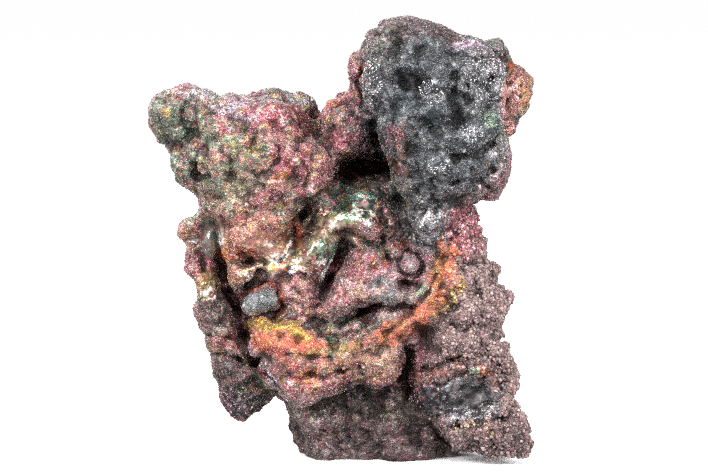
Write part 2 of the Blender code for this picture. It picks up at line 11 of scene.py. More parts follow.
import bmesh
import bpy
import numpy as np
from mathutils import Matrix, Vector


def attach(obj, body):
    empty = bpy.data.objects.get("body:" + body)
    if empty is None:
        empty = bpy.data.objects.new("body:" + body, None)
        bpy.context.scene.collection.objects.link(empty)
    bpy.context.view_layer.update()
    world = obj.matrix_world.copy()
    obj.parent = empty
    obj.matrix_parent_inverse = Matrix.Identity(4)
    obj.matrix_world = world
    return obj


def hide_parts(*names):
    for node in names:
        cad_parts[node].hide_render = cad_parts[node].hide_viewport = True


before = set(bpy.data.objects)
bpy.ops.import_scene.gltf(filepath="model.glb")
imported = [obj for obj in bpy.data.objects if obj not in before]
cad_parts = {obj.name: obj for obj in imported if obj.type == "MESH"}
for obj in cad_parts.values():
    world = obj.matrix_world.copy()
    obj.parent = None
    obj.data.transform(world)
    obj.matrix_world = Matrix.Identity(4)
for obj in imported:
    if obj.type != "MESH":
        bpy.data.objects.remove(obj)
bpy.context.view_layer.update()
NODE = "goethite_stalactite"
MM = 0.001

# %% [markdown]
# ## The camera
#
# The specimen was photographed from straight in front and a little above, from far away, so
# its outline is nearly a parallel projection. A long lens 300 mm away does the same. One
# picture point is about 0.1 mm on the specimen.

# %% Place the camera
PICTURE_WIDTH = 70.8 * MM
DISTANCE = 300 * MM
RISE = math.radians(5.0)
AIM = Vector((1.4, 0.0, 22.4)) * MM
SENSOR = 36.0


def placed(name, data):
    """A new object in the scene."""
    obj = bpy.data.objects.new(name, data)
    bpy.context.scene.collection.objects.link(obj)
    return obj


camera_data = bpy.data.cameras.new("camera")
camera_data.sensor_width = SENSOR
camera_data.lens = SENSOR * DISTANCE / PICTURE_WIDTH
camera_data.clip_start = 10 * MM
camera = placed("camera", camera_data)
camera.location = AIM + Vector((0.0, -math.cos(RISE), math.sin(RISE))) * DISTANCE
camera.rotation_euler = (math.pi / 2 - RISE, 0.0, 0.0)
bpy.context.scene.camera = camera
print("lens:", round(camera_data.lens), "mm")

# %% [markdown]
# ## Working on a skin with arrays
#
# A natural surface has far too many bumps to place by hand. Numpy can move every corner of
# a mesh at once, so the sculpting below is done on arrays in millimetres. A corner is
# addressed by where it is seen from the front: its x, and its height along the line of
# sight, which falls five degrees.

# %% Read and write corners
SIGHT_FALL = math.tan(RISE)
FRONT_ENDS = 5.0


def pull(things, key, width, kind=np.float32):
    """One value of every corner, edge or face, as the rows of an array."""
    flat = np.empty(len(things) * width, kind)
    things.foreach_get(key, flat)
    return flat.reshape(-1, width)


def read(mesh):
    """Corners in millimetres and unit normals."""
    corners = pull(mesh.vertices, "co", 3).astype(float) / MM
    return corners, pull(mesh.vertex_normals, "vector", 3).astype(float)


def write(mesh, corners):
    """Put corners back, in metres."""
    mesh.vertices.foreach_set("co", (corners * MM).astype(np.float32).ravel())
    mesh.update()


def ramp(value, top=1.0):
    """The value, held between 0 and top."""
    return np.clip(value, 0.0, top)


def seen(corners):
    """Where corners are seen from the front: x and height."""
    return corners[:, 0], corners[:, 2] + SIGHT_FALL * corners[:, 1]


def facing(corners, normals):
    """1 on skin that looks to the front, falling to 0 where it turns to the side."""
    return ramp(-2.2 * normals[:, 1] + 0.2) * (corners[:, 1] < FRONT_ENDS)


print("10 mm farther back is seen", round(10.0 * SIGHT_FALL, 2), "mm higher")

# %% [markdown]
# ## Noise
#
# Noise drives both the relief and the colour. Value noise is enough: random numbers on a
# lattice, blended smoothly between its points. The lattice has no end, so each point mixes
# its three whole numbers into one, and that one picks a row of a fixed table.

# %% Lattice noise
TABLE_ROWS = 4096


def drawn(table, at):
    """A table's row for each lattice point; the large primes give neighbours unlike rows."""
    mixed = at[:, 0] * 73856093 ^ at[:, 1] * 19349663 ^ at[:, 2] * 83492791
    return table[mixed % TABLE_ROWS]


def lattice_noise(points, grain, seed):
    """Smooth noise from -1 to 1, with lumps about one grain wide, in millimetres."""
    table = np.random.default_rng(seed).uniform(-1.0, 1.0, TABLE_ROWS)
    scaled = points / grain + seed * 7.31
    cell = np.floor(scaled).astype(np.int64)
    part = scaled - cell
    part = part * part * (3.0 - 2.0 * part)
    total = np.zeros(len(points))
    for corner in range(8):
        step = np.array([corner & 1, corner >> 1 & 1, corner >> 2 & 1])
        weight = np.prod(np.where(step, part, 1.0 - part), axis=1)
        total += weight * drawn(table, cell + step)
    return total


def layered(points, grain, seed, layers=3, softer=0.6):
    """Noise on noise, each layer twice as fine and softer than the one before."""
    total = np.zeros(len(points))
    strength = 0.0
    for layer in range(layers):
        total += softer ** layer * lattice_noise(points, grain / 2 ** layer, seed + layer)
        strength += softer ** layer
    return total / strength


sample = lattice_noise(np.linspace((0.0, 0.0, 0.0), (50.0, 40.0, 30.0), 2000), 2.0, 1)
print("noise:", round(float(sample.min()), 2), "to", round(float(sample.max()), 2))

# %% [markdown]
# ## The skin
#
# The real skin is a crust of goethite needles that grew in knobs a few millimetres wide,
# with finer knobs on them. The solid carries the wide ones. A voxel remesh gives an even
# net that is fine enough for the rest: faces of 0.2 to 0.3 mm, two or three picture points.
# Edits are made on a copy, and the solid itself is left as it is.

# %% Remesh a copy of the solid
WELD = 0.001
COARSE = 0.3
FINE = 0.2


def modified(mesh, modifiers):
    """A new mesh: the old one after some modifiers, each a kind and its settings."""
    obj = placed("work", mesh)
    for kind, settings in modifiers:
        modifier = obj.modifiers.new(kind, kind)
        for key, value in settings.items():
            setattr(modifier, key, value)
    result = bpy.data.meshes.new_from_object(obj.evaluated_get(bpy.context.evaluated_depsgraph_get()))
    bpy.data.objects.remove(obj)
    return result


def remeshed(mesh, voxel, rounds):
    """A new mesh with even faces, voxel millimetres wide, smoothed a few rounds."""
    return modified(mesh, [("REMESH", {"mode": "VOXEL", "voxel_size": voxel * MM}),
                           ("SMOOTH", {"iterations": rounds})])


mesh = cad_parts[NODE].data.copy()
welded = bmesh.new()
welded.from_mesh(mesh)
bmesh.ops.remove_doubles(welded, verts=welded.verts, dist=WELD * MM)
welded.to_mesh(mesh)
welded.free()
mesh = remeshed(mesh, COARSE, 3)
print("skin:", len(mesh.polygons), "faces")

# %% [markdown]
# ## Lumps, slits and folds of the show face
#
# Natural relief has no rule to copy, so it is modelled the way a sculptor dabs clay on and cuts into it with
# a tool. A dab is a low dome: where it is seen, its radius and its rise, which is negative for a dent. A cut
# is a half width, a depth, which is negative for a ridge, and the points of a line. Both move the skin along
# the line of sight, so each lands where the eye puts it, and noise bends them so that nothing round or
# straight is left.

# %% Dabs and cuts
BEND_GRAIN = 1.3
UNEVEN_GRAIN = 0.9
DOME = 0.8
CUT_EDGE = 1.8


def line_distance(points, x, height):
    """Distance of seen corners to a line of straight runs."""
    best = np.full(len(x), math.inf)
    at = np.stack((x, height), axis=1)
    for start, end in zip(points, points[1:]):
        start = np.array(start)
        along = np.array(end) - start
        share = ramp((at - start) @ along / (along @ along))
        best = np.minimum(best, np.linalg.norm(at - start - share[:, None] * along, axis=1))
    return best


def model(mesh, dabs, cuts, strength, bend=0.9):
    """Raise the dabs and press the cuts into the show face, along lines bent by noise."""
    corners, normals = read(mesh)
    x, height = seen(corners)
    front = facing(corners, normals)
    x = x + bend * layered(corners, BEND_GRAIN, 3)
    height = height + bend * layered(corners, BEND_GRAIN, 23)
    uneven = 1.0 + 0.7 * lattice_noise(corners, UNEVEN_GRAIN, 33)
    push = np.zeros(len(corners))
    for across, up, radius, rise in dabs:
        reach = np.hypot(x - across, height - up) / radius
        push -= rise * ramp(1.0 - reach ** 2) ** DOME
    for half_width, depth, *points in cuts:
        reach = line_distance(points, x, height) / half_width
        push += depth * ramp(CUT_EDGE * (uneven - reach))
    corners[:, 1] += strength * front * push
    write(mesh, corners)
    print(len(dabs), "dabs and", len(cuts), "cuts move the skin by up to",
          round(float(np.abs(strength * front * push).max()), 1), "mm")


def ring(across, up, wide, high):
    """A line round a spot, in runs of one radian."""
    return [(across + wide * math.cos(turn), up + high * math.sin(turn)) for turn in range(7)]


# %% [markdown]
# The knob hangs over the rest at the upper right. It is a cluster of rounded heads with
# creases between them, crossed by one deep crack above its lower end.

# %% The knob
KNOB_DABS = [
    (5, 43.2, 2.2, 0.48), (7.6, 43.4, 2.4, 0.56), (9.8, 42.2, 1.8, 0.4), (3.8, 41.6, 1.4, 0.48),
    (3.4, 39.4, 1.5, 0.48), (3.1, 36.9, 1.4, 0.4), (3.5, 34.6, 1.3, 0.4), (4.7, 33, 1.3, 0.32),
    (4.7, 38.2, 1, 0.32), (4.6, 35.9, 0.9, 0.32), (8.4, 36.8, 1.1, 0.64), (9.2, 35.2, 1, 0.64),
    (10, 34, 0.9, 0.56), (8, 38.6, 0.9, 0.48), (10, 38.5, 1, 0.64), (10.2, 36.8, 0.8, 0.48),
    (13.1, 38.6, 1.6, 0.56), (15.3, 38.8, 1.4, 0.56), (15.5, 36.6, 1.3, 0.48), (13.3, 36.3, 1.2, 0.48),
    (15.2, 34.6, 1.1, 0.4), (13.3, 34.3, 1.1, 0.48), (12.2, 41.2, 1.6, 0.56), (15.8, 41.2, 1.2, 0.48),
    (14.4, 40.4, 1, 0.32), (12.7, 32.4, 1.3, 0.64), (10.6, 31.5, 1.4, 0.4), (8.6, 31.8, 1.3, 0.56),
    (6.6, 32.2, 1.1, 0.4), (15.7, 32.3, 1.3, 0.48), (15.4, 28.1, 1.6, 0.72), (13.4, 26.5, 1.3, 0.48),
    (16.3, 30.2, 1.1, 0.48), (12, 28.9, 1.1, 0.4), (9.5, 29.2, 1.3, 0.48), (7.5, 29.3, 0.9, 0.32),
    (6, 30.6, 0.8, 0.4), (6.1, 28.4, 0.8, 0.4), (8.1, 26.2, 0.9, 0.72), (10.5, 26.4, 1.4, 0.48),
    (8.4, 23.7, 1.6, 0.4), (10.4, 24.1, 1.3, 0.32), (7.6, 21.6, 1.3, 0.32), (9.5, 21.8, 1.1, 0.32),
    # Dents
    (13, 28.8, 0.6, -0.72), (14.7, 28.8, 0.5, -0.64), (8.4, 25.1, 0.4, -0.48), (6.4, 35.1, 1.1, -0.32),
    (9, 33, 0.6, -0.4), (5.9, 38, 0.9, -0.4),
]
KNOB_CUTS = [
    (0.4, 0.4, (5.7, 41), (5.3, 39.2), (6, 37.4), (7.2, 36), (7.8, 34.4)),
    (0.5, 0.4, (7.7, 40.8), (7.2, 38.8), (7.2, 37.4)),
    (0.4, 0.35, (10.9, 38.2), (11.3, 36), (11, 34.2), (11.7, 33.2)),
    (0.35, 0.42, (10.8, 40.2), (12.6, 39.8), (14.4, 39.5), (16.6, 39.8)),
    (0.35, 0.56, (14.4, 37.8), (14.3, 35.4), (14.2, 33.6)),
    (0.35, 0.49, (12.2, 37.8), (12.3, 35.4), (12.6, 33.9)),
    (0.5, 0.77, (16.6, 33), (14.6, 31.2), (12.6, 30.2), (10.9, 30)),
    (0.4, 0.7, (11.2, 27.7), (13, 27.8), (14.3, 27)),
    (0.4, 0.49, (5.4, 33.8), (7.2, 33.6), (8.6, 33), (9.6, 31.9)),
    (0.4, 0.35, (7, 31.4), (7.2, 29.4), (8, 27.5)),
    (0.35, 1.1, (2.1, 38.6), (2.2, 36.4), (2.5, 34.4)),
    (0.3, 0.42, (9.4, 27.8), (9.4, 25.6), (9.4, 22.8)),
    (0.25, 0.28, (7, 24.8), (8.8, 25), (9.9, 25.4)),
    (0.35, 0.56, (14, 41.6), (14.4, 40.9), (16.4, 40.3)),
    (0.3, 0.42, (16.8, 37.6), (15.6, 37.7), (14.6, 38)),
    (0.3, 0.35, (16.6, 35.6), (15.4, 35.5), (14.4, 35.8)),
]
model(mesh, KNOB_DABS, KNOB_CUTS, 1.2)

# %% [markdown]
# The lobe at the left is smoother: wide low heads with shallow creases. The last cuts open
# the cave that lies between it and the knob.

# %% The lobe
LOBE_DABS = [
    (-17.4, 34.6, 1.6, 0.42), (-15.8, 36.1, 1.4, 0.35), (-16.6, 32.5, 1.4, 0.35), (-14.4, 34.6, 1.5, 0.35),
    (-14.7, 30.4, 1.8, 0.49), (-15.4, 28.3, 1.5, 0.42), (-12.4, 33.4, 1.5, 0.35), (-12.4, 36.2, 1.5, 0.35),
    (-10.4, 35.4, 1.4, 0.35), (-8.7, 34.1, 1.5, 0.35), (-6.8, 35.3, 1.4, 0.42), (-5.2, 33.8, 1.4, 0.42),
    (-7.2, 32.2, 1.6, 0.35), (-10.3, 32.1, 1.7, 0.35), (-12, 30.4, 1.5, 0.28), (-9.6, 29.7, 1.6, 0.28),
    (-7.4, 29.8, 1.5, 0.28), (-5.4, 31.4, 1.4, 0.42), (-4.6, 29.2, 1.5, 0.49), (-5.8, 27.2, 1.5, 0.42),
    (-11.8, 27.6, 1.6, 0.28), (-9.2, 27.3, 1.5, 0.28), (-7.4, 25.6, 1.5, 0.21), (-10.6, 25, 1.7, 0.21),
    (-4.2, 26.4, 1.2, 0.35), (-12.7, 25.2, 1.3, 0.28), (-10.4, 28.3, 0.6, -0.42), (-3.1, 33, 1.1, -0.91),
    (-5.8, 28.4, 0.5, -0.28), (-6.4, 23.4, 1.6, 0.28), (-9.2, 22.6, 2, 0.28), (-11.4, 22.6, 1.2, 0.21),
    (-5.4, 36.4, 1.6, 0.28), (-3.6, 35.6, 1.2, 0.28), (-0.4, 34.2, 1.3, 0.42), (0.8, 33, 1.3, 0.42),
    (-0.2, 31.8, 1.3, 0.42), (-1.6, 30.6, 1.3, 0.42), (1.2, 35.4, 1.1, 0.35), (1, 38.4, 0.9, 0.28),
    (-2.4, 28.4, 1.2, 0.35), (-3.2, 30.8, 1.1, 0.35), (-2.6, 26.8, 1, 0.28), (1.4, 31.8, 1.5, 1.12),
    (3.4, 31.8, 1.4, 0.6), (-0.2, 30.4, 1.2, 1), (0.9, 30.7, 0.9, 0.9), (4.9, 30.2, 0.6, 0.8),
    (2.6, 27.9, 0.7, 0.6),
]
LOBE_CUTS = [
    (0.45, 0.7, (-13.6, 30.6), (-13.7, 29), (-13.8, 27.8)),
    (0.4, 0.35, (-18.2, 33), (-16, 31.8), (-14.2, 32.3)),
    (0.35, 0.3, (-15.4, 34.4), (-13.6, 35.4), (-12.4, 34.8)),
    (0.35, 0.3, (-9.6, 36.4), (-9, 35.2), (-7.8, 33.4), (-8.6, 31.6)),
    (0.35, 0.35, (-6, 35), (-6.2, 33.2), (-5.8, 31.6), (-6.2, 29.6)),
    (0.3, 0.3, (-11.4, 31.2), (-10.8, 29.8), (-11, 28.4), (-8.2, 28.6), (-6, 28.4)),
    (0.3, 0.25, (-8.4, 31), (-8.4, 29.6), (-8, 28.2), (-8.2, 26.4)),
    (0.4, 0.45, (-3.8, 32.2), (-4.2, 30.4), (-3.2, 28.8), (-3.4, 27.2)),
    (0.3, 0.25, (-12.2, 26), (-9.8, 26.2), (-7.4, 27)),
    (0.4, 0.4, (-2.6, 35.2), (-2.2, 33.6), (-2.2, 32), (-2.6, 29.8)),
    (0.3, 0.3, (-0.6, 33), (0.8, 32), (1.8, 31.8)),
    (0.3, 0.25, (-1.2, 31.4), (-0.4, 30.8), (0.2, 30.4)),
    (0.5, 0.65, (-3.2, 25), (-4.4, 23.8), (-5.2, 22.4)),
    (0.4, 0.45, (-12.6, 24.2), (-11, 20.8), (-8.8, 19.8), (-6.6, 20)),
    # The cave, from its pointed top to its left corner and its floor
    (0.6, 1.5, (3.1, 33.4), (3.6, 31.6), (4, 30.4)),
    (0.45, 1.2, (-0.4, 28.4), (1, 27.9)),
    (0.9, 1.6, (1.6, 29.2), (5, 29.6)),
]
model(mesh, LOBE_DABS, LOBE_CUTS, 1.1)

# %% [markdown]
# The middle is the busiest part: glassy flows, a deep slit with a raised rim, a fold, a
# small round nodule in a ring, a flat facet and the shelf under it. Its lines are bent less,
# because the slit and the facet have clear edges.

# %% The middle and the left
MIDDLE_DABS = [
    (-1.6, 23.6, 1.3, 0.6), (0.4, 24.2, 1.3, 0.5), (2.2, 23.6, 1.2, 0.6), (-1.4, 21.4, 1.2, 0.5),
    (1.2, 26.6, 1.2, 0.5), (3, 26.4, 1, 0.5), (-0.6, 26.2, 1.1, 0.4), (3.6, 22.4, 1.1, 0.5),
    (3, 20.6, 1, 0.5), (1.8, 19.4, 1.2, 0.5), (1.2, 17.8, 1, 0.4), (2.8, 18.4, 0.9, 0.4),
    (-3.2, 20.2, 1.1, 0.5), (-4.8, 19.6, 0.9, 0.4), (-6.6, 20.9, 1, 0.6), (-5.6, 21.8, 0.9, 0.5),
    (-3.6, 18.2, 1.3, 0.6), (-5, 17, 1.2, 0.5), (-3, 16.2, 1.2, 0.5), (-1.2, 16.4, 1, 0.4),
    (-3.6, 14.6, 1.2, 0.5), (-1.2, 14.8, 1.2, 0.5), (0.4, 16.4, 1.2, 0.5), (2.2, 16.8, 1.2, 0.6),
    (-8, 16, 1.8, 0.3), (-9.8, 18.4, 1.2, 0.6), (-8.2, 19, 1, 0.5), (-6.8, 18.2, 0.8, 0.4),
    (-10.4, 20.2, 1, 0.5), (-12.8, 21.8, 1.1, 0.6), (-12.4, 19.6, 0.9, 0.5), (-13.6, 18, 1, 0.6),
    (-15.4, 23.2, 1.1, 0.5), (-14.6, 21.2, 1.1, 0.6), (-14.6, 19.2, 1.1, 0.5), (-12.9, 16.4, 1, 0.5),
    (-12.4, 14.8, 1.3, 0.6), (-11.4, 13, 1.1, 0.5), (-12.4, 11.6, 1.1, 0.5), (-10.4, 11.2, 1.1, 0.5),
    (-11.6, 9.6, 1.3, 0.5), (-9.6, 8.6, 1.2, 0.5), (-11, 7.2, 1.2, 0.5), (-9, 6.4, 1.2, 0.4),
    (-7.8, 13.4, 1.2, 0.5), (-6.2, 13.6, 1.1, 0.5), (-4.6, 13, 1.1, 0.5), (-7, 12, 1.1, 0.5),
    (-5.2, 11.4, 1.2, 0.5), (-3.2, 11.8, 1.1, 0.5), (-1.6, 11.4, 1, 0.4), (-4, 9.8, 1.2, 0.5),
    (-6, 9.6, 1.1, 0.4), (-2, 9.6, 1.2, 0.4), (0, 10.2, 1.1, 0.4), (-2.8, 7.6, 1.2, 0.5),
    (-0.8, 8, 1.2, 0.5), (1.4, 8.6, 1.1, 0.4), (3.2, 9.8, 1.2, 0.4), (1, 11.8, 1.2, 0.4),
    (3.4, 12, 1.2, 0.4), (5.4, 11, 1.2, 0.4), (3.4, 7.4, 1.1, 0.5), (1.6, 6.8, 1, 0.4), (-4.6, 7.6, 1, 0.4),
    (7, 19.6, 1, 1), (8.8, 20.5, 0.7, 0.5), (5.4, 21.2, 1, 0.4), (4.2, 19.2, 0.9, 0.4), (5.2, 17, 1.3, 0.6),
    (7, 16.6, 1.3, 0.5), (3.2, 16.4, 1.1, 0.5), (8.8, 17.8, 1, 0.4), (9.6, 16.2, 1, 0.4),
    (8.2, 14.6, 1.1, 0.4), (6.4, 13.6, 1.1, 0.4), (10.2, 18.8, 1, 0.4), (10.6, 21.2, 1.1, 0.4),
    (12.2, 22.4, 1.1, 0.4), (11.6, 24.2, 1.1, 0.4),
    # Edges that stand well out
    (-3.6, 13.5, 0.9, 0.9), (-2.4, 13.3, 0.9, 1), (-1.2, 13.2, 0.8, 0.9), (-8.6, 9.6, 1.1, 1.3),
    (-9.2, 11, 1.1, 1.3), (-9.8, 12.6, 1, 1.1), (-11.4, 17.4, 0.9, 0.8), (-11, 15.8, 0.9, 0.9),
    (-10.4, 14.2, 0.9, 0.9), (-0.5, 19, 1, 1.6), (-1.3, 17.5, 0.8, 1.2), (0.2, 20.4, 0.6, 0.9),
    # Dents
    (-11.6, 18.2, 0.5, -0.6), (-9.2, 12.6, 0.6, -0.5), (6.2, 15.2, 0.6, -0.4), (-0.2, 19, 0.6, -0.5),
]
MIDDLE_CUTS = [
    # The slit with its rim, and the short cross of cracks above it
    (0.2, -0.4, (-0.6, 21), (-1.5, 19.8), (-2.3, 18)),
    (0.25, 0.7, (0.3, 21.2), (0, 19.6), (-1.9, 16.6)),
    (0.22, 1.2, (-0.3, 21.7), (1.5, 21.4)),
    (0.2, 0.9, (-1.8, 24.2), (-0.5, 24.1)),
    (0.3, 0.8, (0.2, 22.8), (0.5, 21.6)),
    # The fold
    (0.75, 1.9, (1.4, 14.1), (3.2, 15.1)),
    (0.3, 1.3, (0, 13.4), (1.8, 14.4), (3.9, 15.6)),
    (0.3, 0.7, (3.6, 15.4), (5.2, 15.2), (6.2, 15.6), (7.6, 15.4)),
    # The groove of the left column
    (0.3, 1.2, (-12.2, 20), (-11.8, 17.6), (-10.8, 15.6), (-9.8, 13), (-9.6, 12)),
    (0.35, 0.9, (-12.4, 24), (-12, 21.6), (-12.2, 20)),
    (0.3, 0.8, (-14.2, 16.4), (-12.6, 17.2), (-11.8, 17)),
    # Round the facet, between the lumps and round the nodule
    (0.3, 0.7, (-9.4, 17.4), (-8, 17.6), (-6.2, 17.8), (-5.8, 15.8), (-6.6, 14.4), (-9.2, 14.4)),
    (0.35, 0.8, (-10.6, 19.4), (-9, 19.8), (-7.4, 19.8), (-6, 20)),
    (0.3, 0.7, (-2.4, 24.6), (-3.6, 22.2), (-2.6, 20.6), (-1.4, 20.2)),
    (0.3, 0.7, (-1.2, 22.4), (0.4, 22.8), (2.2, 22.2), (3.4, 21.4)),
    (0.3, 0.6, (-4.2, 18.8), (-2.4, 18), (-2, 17)),
    (0.3, 0.6, (-5, 15.8), (-3, 15.3), (-1, 15.6)),
    (0.5, 1.2, (5.6, 17.9), (6.4, 17.8), (7.4, 17.6)),
    (0.35, 0.9, *ring(7, 19.6, 1.25, 1.25)),
    # Creases of the shelf, the foot and the column
    (0.35, 0.7, (-9.4, 11.6), (-8.4, 9.4), (-7, 8.2), (-5.4, 6.8)),
    (0.3, 0.6, (-2.4, 12.6), (-0.4, 12.6), (1.4, 12.9), (3.4, 14)),
    (0.25, 0.35, (-5, 10.6), (-3, 10.6), (-1, 10.4), (0.4, 9.2)),
    (0.3, 0.6, (-3.4, 8.8), (-1.8, 8.6), (0.2, 9), (2.2, 9.4)),
    (0.3, 0.5, (4.4, 12.6), (6.6, 14.6), (8.6, 16.6), (9.6, 18.8)),
    (0.35, 0.8, (-13.8, 12.4), (-12, 12.4), (-10.4, 12.4)),
    (0.35, 0.7, (-12.8, 10.6), (-11.2, 10.6), (-9.6, 9.6)),
    (0.3, 0.6, (-15.8, 22), (-14.8, 22.2), (-13.6, 20.4), (-13.6, 18.8)),
    (0.35, 0.8, (3.9, 25.2), (4.4, 23.6), (4.2, 21.8), (5, 19.8)),
    (0.3, 0.6, (-0.4, 25.2), (1.2, 25.4), (2.8, 24.8)),
]
model(mesh, MIDDLE_DABS, MIDDLE_CUTS, 1.25, 0.35)

# %% [markdown]
# At the lower right a smooth bowl with a rim is sunk into the coarse mass. After this step
# the skin is remeshed more finely, because the next one adds heads of half a millimetre.

# %% The right side and the foot
RIGHT_DABS = [
    # The bowl and its surroundings
    (12.5, 6.2, 2.9, -1.3), (10, 8.6, 0.9, 0.6), (11.6, 9.4, 0.9, 0.6), (13.4, 9.3, 0.9, 0.6),
    (15, 8.3, 0.8, 0.6), (15.4, 6.6, 0.8, 0.5), (14.6, 4.9, 0.9, 0.5), (12.6, 4.2, 0.9, 0.5),
    (10.6, 4.4, 0.8, 0.5), (9.2, 5.4, 0.9, 0.5), (8.6, 7.2, 0.9, 0.6), (14.8, 3, 1.2, 0.5),
    (16.8, 2.2, 1.2, 0.5), (17.4, 4.2, 1.2, 0.5), (16.8, 6.8, 1.1, 0.4),
    # The coarse mass
    (13, 12, 1.6, 0.5), (10.4, 12, 1.5, 0.4), (15.2, 12.4, 1.4, 0.5), (15.6, 15.4, 1.5, 0.5),
    (12.8, 15, 1.4, 0.4), (12, 18.4, 1.5, 0.4), (14.6, 18.4, 1.5, 0.5), (13.2, 21.2, 1.4, 0.5),
    (15, 20.6, 1.2, 0.5), (13.6, 24, 1.2, 0.5), (9.6, 10.2, 1, 0.4), (16.4, 10, 1.3, 0.4),
    (17, 13.6, 1.2, 0.5),
    # Dents
    (11.6, 15.4, 0.8, -0.7), (13.6, 16.6, 0.7, -0.5), (11.2, 13.4, 0.7, -0.5), (14.2, 10.6, 0.7, -0.4),
]
RIGHT_CUTS = [
    # The bowl's rim
    (0.4, -0.6, *ring(12.6, 6.1, 3.1, 2.1)),
    # Over the bowl, left of it and under it
    (0.4, 0.8, (8.2, 9), (9.2, 9.2), (10.6, 10.2), (13, 10.6), (15.6, 9.6)),
    (0.7, 1.3, (6.8, 11), (6.6, 8.6), (6.8, 6.4)),
    (0.4, 0.7, (13.6, 5.2), (15.2, 5.9), (16.2, 7.8)),
    (0.35, 0.6, (10.2, 3.4), (12.2, 3.2), (14, 4)),
]
model(mesh, RIGHT_DABS, RIGHT_CUTS, 1.2, 0.35)
mesh = remeshed(mesh, FINE, 1)
print("skin:", len(mesh.polygons), "faces")

# %% [markdown]
# ## Knobs on knobs
#
# Goethite grows in bunches of grapes: each needle fan ends in a round head, and the heads
# meet in sharp creases. Cell noise makes that. Every point looks for the nearest of many
# random centres, and the skin swells toward it.

# %% Cell noise
def cells(points, grain, seed):
    """Distance to the nearest centre, in grains, and that centre's own random number."""
    table = np.random.default_rng(seed).uniform(0.0, 1.0, (TABLE_ROWS, 4))
    scaled = points / grain + seed * 3.7
    home = np.floor(scaled).astype(np.int64)
    best = np.full(len(points), math.inf)
    own = np.zeros(len(points))
    for step in np.ndindex(3, 3, 3):
        at = home + np.array(step) - 1
        row = drawn(table, at)
        away = np.linalg.norm(at + row[:, :3] - scaled, axis=1)
        nearer = away < best
        best[nearer] = away[nearer]
        own[nearer] = row[nearer, 3]
    return best, own


def bunch(points, sizes, lower):
    """Round heads of several widths on one another, lowered so that the mean stays near 0."""
    total = 0.0
    for rise, width, seed in sizes:
        away, own = cells(points, width, seed)
        total = total + rise * (np.sqrt(ramp(1.0 - away ** 2 * 1.1)) * (0.6 + 0.4 * own))
    return total - lower


# %% [markdown]
# The whole skin gets heads of three widths. The right mass gets coarse ones like a bunch of
# grapes, with spurs that make its right edge jagged, and the root gets broad ones. Some
# spots grew smooth and take only half of it.

# %% Swell the skin
HEADS = [(0.5, 2.2, 5), (0.42, 1.1, 6), (0.3, 0.6, 7)]
GRAPES = [(1.2, 1.1, 8), (0.5, 0.6, 9)]
ROOT_HEADS = [(1.2, 3.0, 10), (0.5, 1.4, 12)]
MASS_TOP = 25.5
ROOT_MIDDLE = 3.5
ROOT_HALF = 9.0
SMOOTH_SPOTS = [
    (9.6, 34, 5.4, 8), (-5.4, 20.6, 3, 2), (-12.6, 20, 1.6, 4), (12.6, 6.2, 3, 2.1), (-8, 16, 1.6, 1.1),
    (-8.6, 23.2, 3, 1.4), (6.4, 35.2, 1.2, 1), (1, 22.6, 2.6, 2.6),
]


def right_mass(x, height, start, fade):
    """1 on the coarse mass at the right, which starts at some x and fades in from there."""
    return ramp((x - start) / fade) * ramp((MASS_TOP - height) / 2.0)


def on_root(x):
    """Whether a corner is as far across as the root."""
    return np.abs(x - ROOT_MIDDLE) < ROOT_HALF


def reach_of(x, height, across, up, wide, high):
    """Distance from the middle of an ellipse: 1 on its edge."""
    return np.hypot((x - across) / wide, (height - up) / high)


corners, normals = read(mesh)
x, height = seen(corners)
swell = bunch(corners, HEADS, 0.72) + 0.16 * layered(corners, 0.8, 11)
grapes = right_mass(x, height, 8.0, 3.0)
swell += grapes * bunch(corners, GRAPES, 1.0)
spurs = grapes * ramp(1.5 * normals[:, 0])
swell += 0.9 * spurs * ramp(3.0 * lattice_noise(corners, 1.3, 14) - 0.8)
swell += ramp((6.0 - corners[:, 2]) / 2.0) * on_root(x) * bunch(corners, ROOT_HEADS, 0.9)
rough = np.clip(0.75 + 0.35 * lattice_noise(corners, 5.0, 13), 0.3, 1.2)
for spot in SMOOTH_SPOTS:
    rough *= 1.0 - 0.5 * ramp(1.4 - reach_of(x, height, *spot)) * facing(corners, normals)
corners += normals * (swell * rough)[:, None]
print("swelling:", np.percentile(swell * rough, (1, 99)).round(2), "mm")

# %% [markdown]
# What has risen above the crown is pressed back by nearly half, so that the specimen stays
# as tall as its solid, and nothing goes below the break it stands on. One piece may have
# 200,000 triangles, so the skin is thinned to a little less.

# %% Crown, break and number of triangles
CROWN = 43.6
CROWN_PRESS = 0.45
SKIN_TRIANGLES = 194000

over = np.maximum(corners[:, 2] - CROWN, 0.0)
corners[:, 2] = np.maximum(corners[:, 2] - CROWN_PRESS * over, 0.0)
write(mesh, corners)
mesh.calc_loop_triangles()
mesh = modified(mesh, [("DECIMATE", {"ratio": min(1.0, SKIN_TRIANGLES / len(mesh.loop_triangles))})])
print("skin:", len(mesh.polygons), "faces")

# %% [markdown]
# The finished skin becomes a visible piece. It rides on the one body of the frame and takes
# the place of the plain solid in the picture.

# %% The skin object
skin = placed("goethite_skin", mesh)
mesh.shade_smooth()
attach(skin, "root")
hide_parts(NODE)
print("skin object:", skin.name)

# %% [markdown]
# ## Tarnish
#
# The colours are not a pigment. A film of oxide a few hundred nanometres thick lies on the
# dark metal-like goethite, and its thickness sets the hue, as on a soap bubble. It differs
# from needle to needle, so close up every patch is a mixture: a rose patch holds crimson,
# pale pink and brown needles. Each tarnish below is therefore a family of hues, and every
# grain draws one. Most patches have one or two hues that do not seem to belong.

# %% Families of hues
BLEND = 0.22


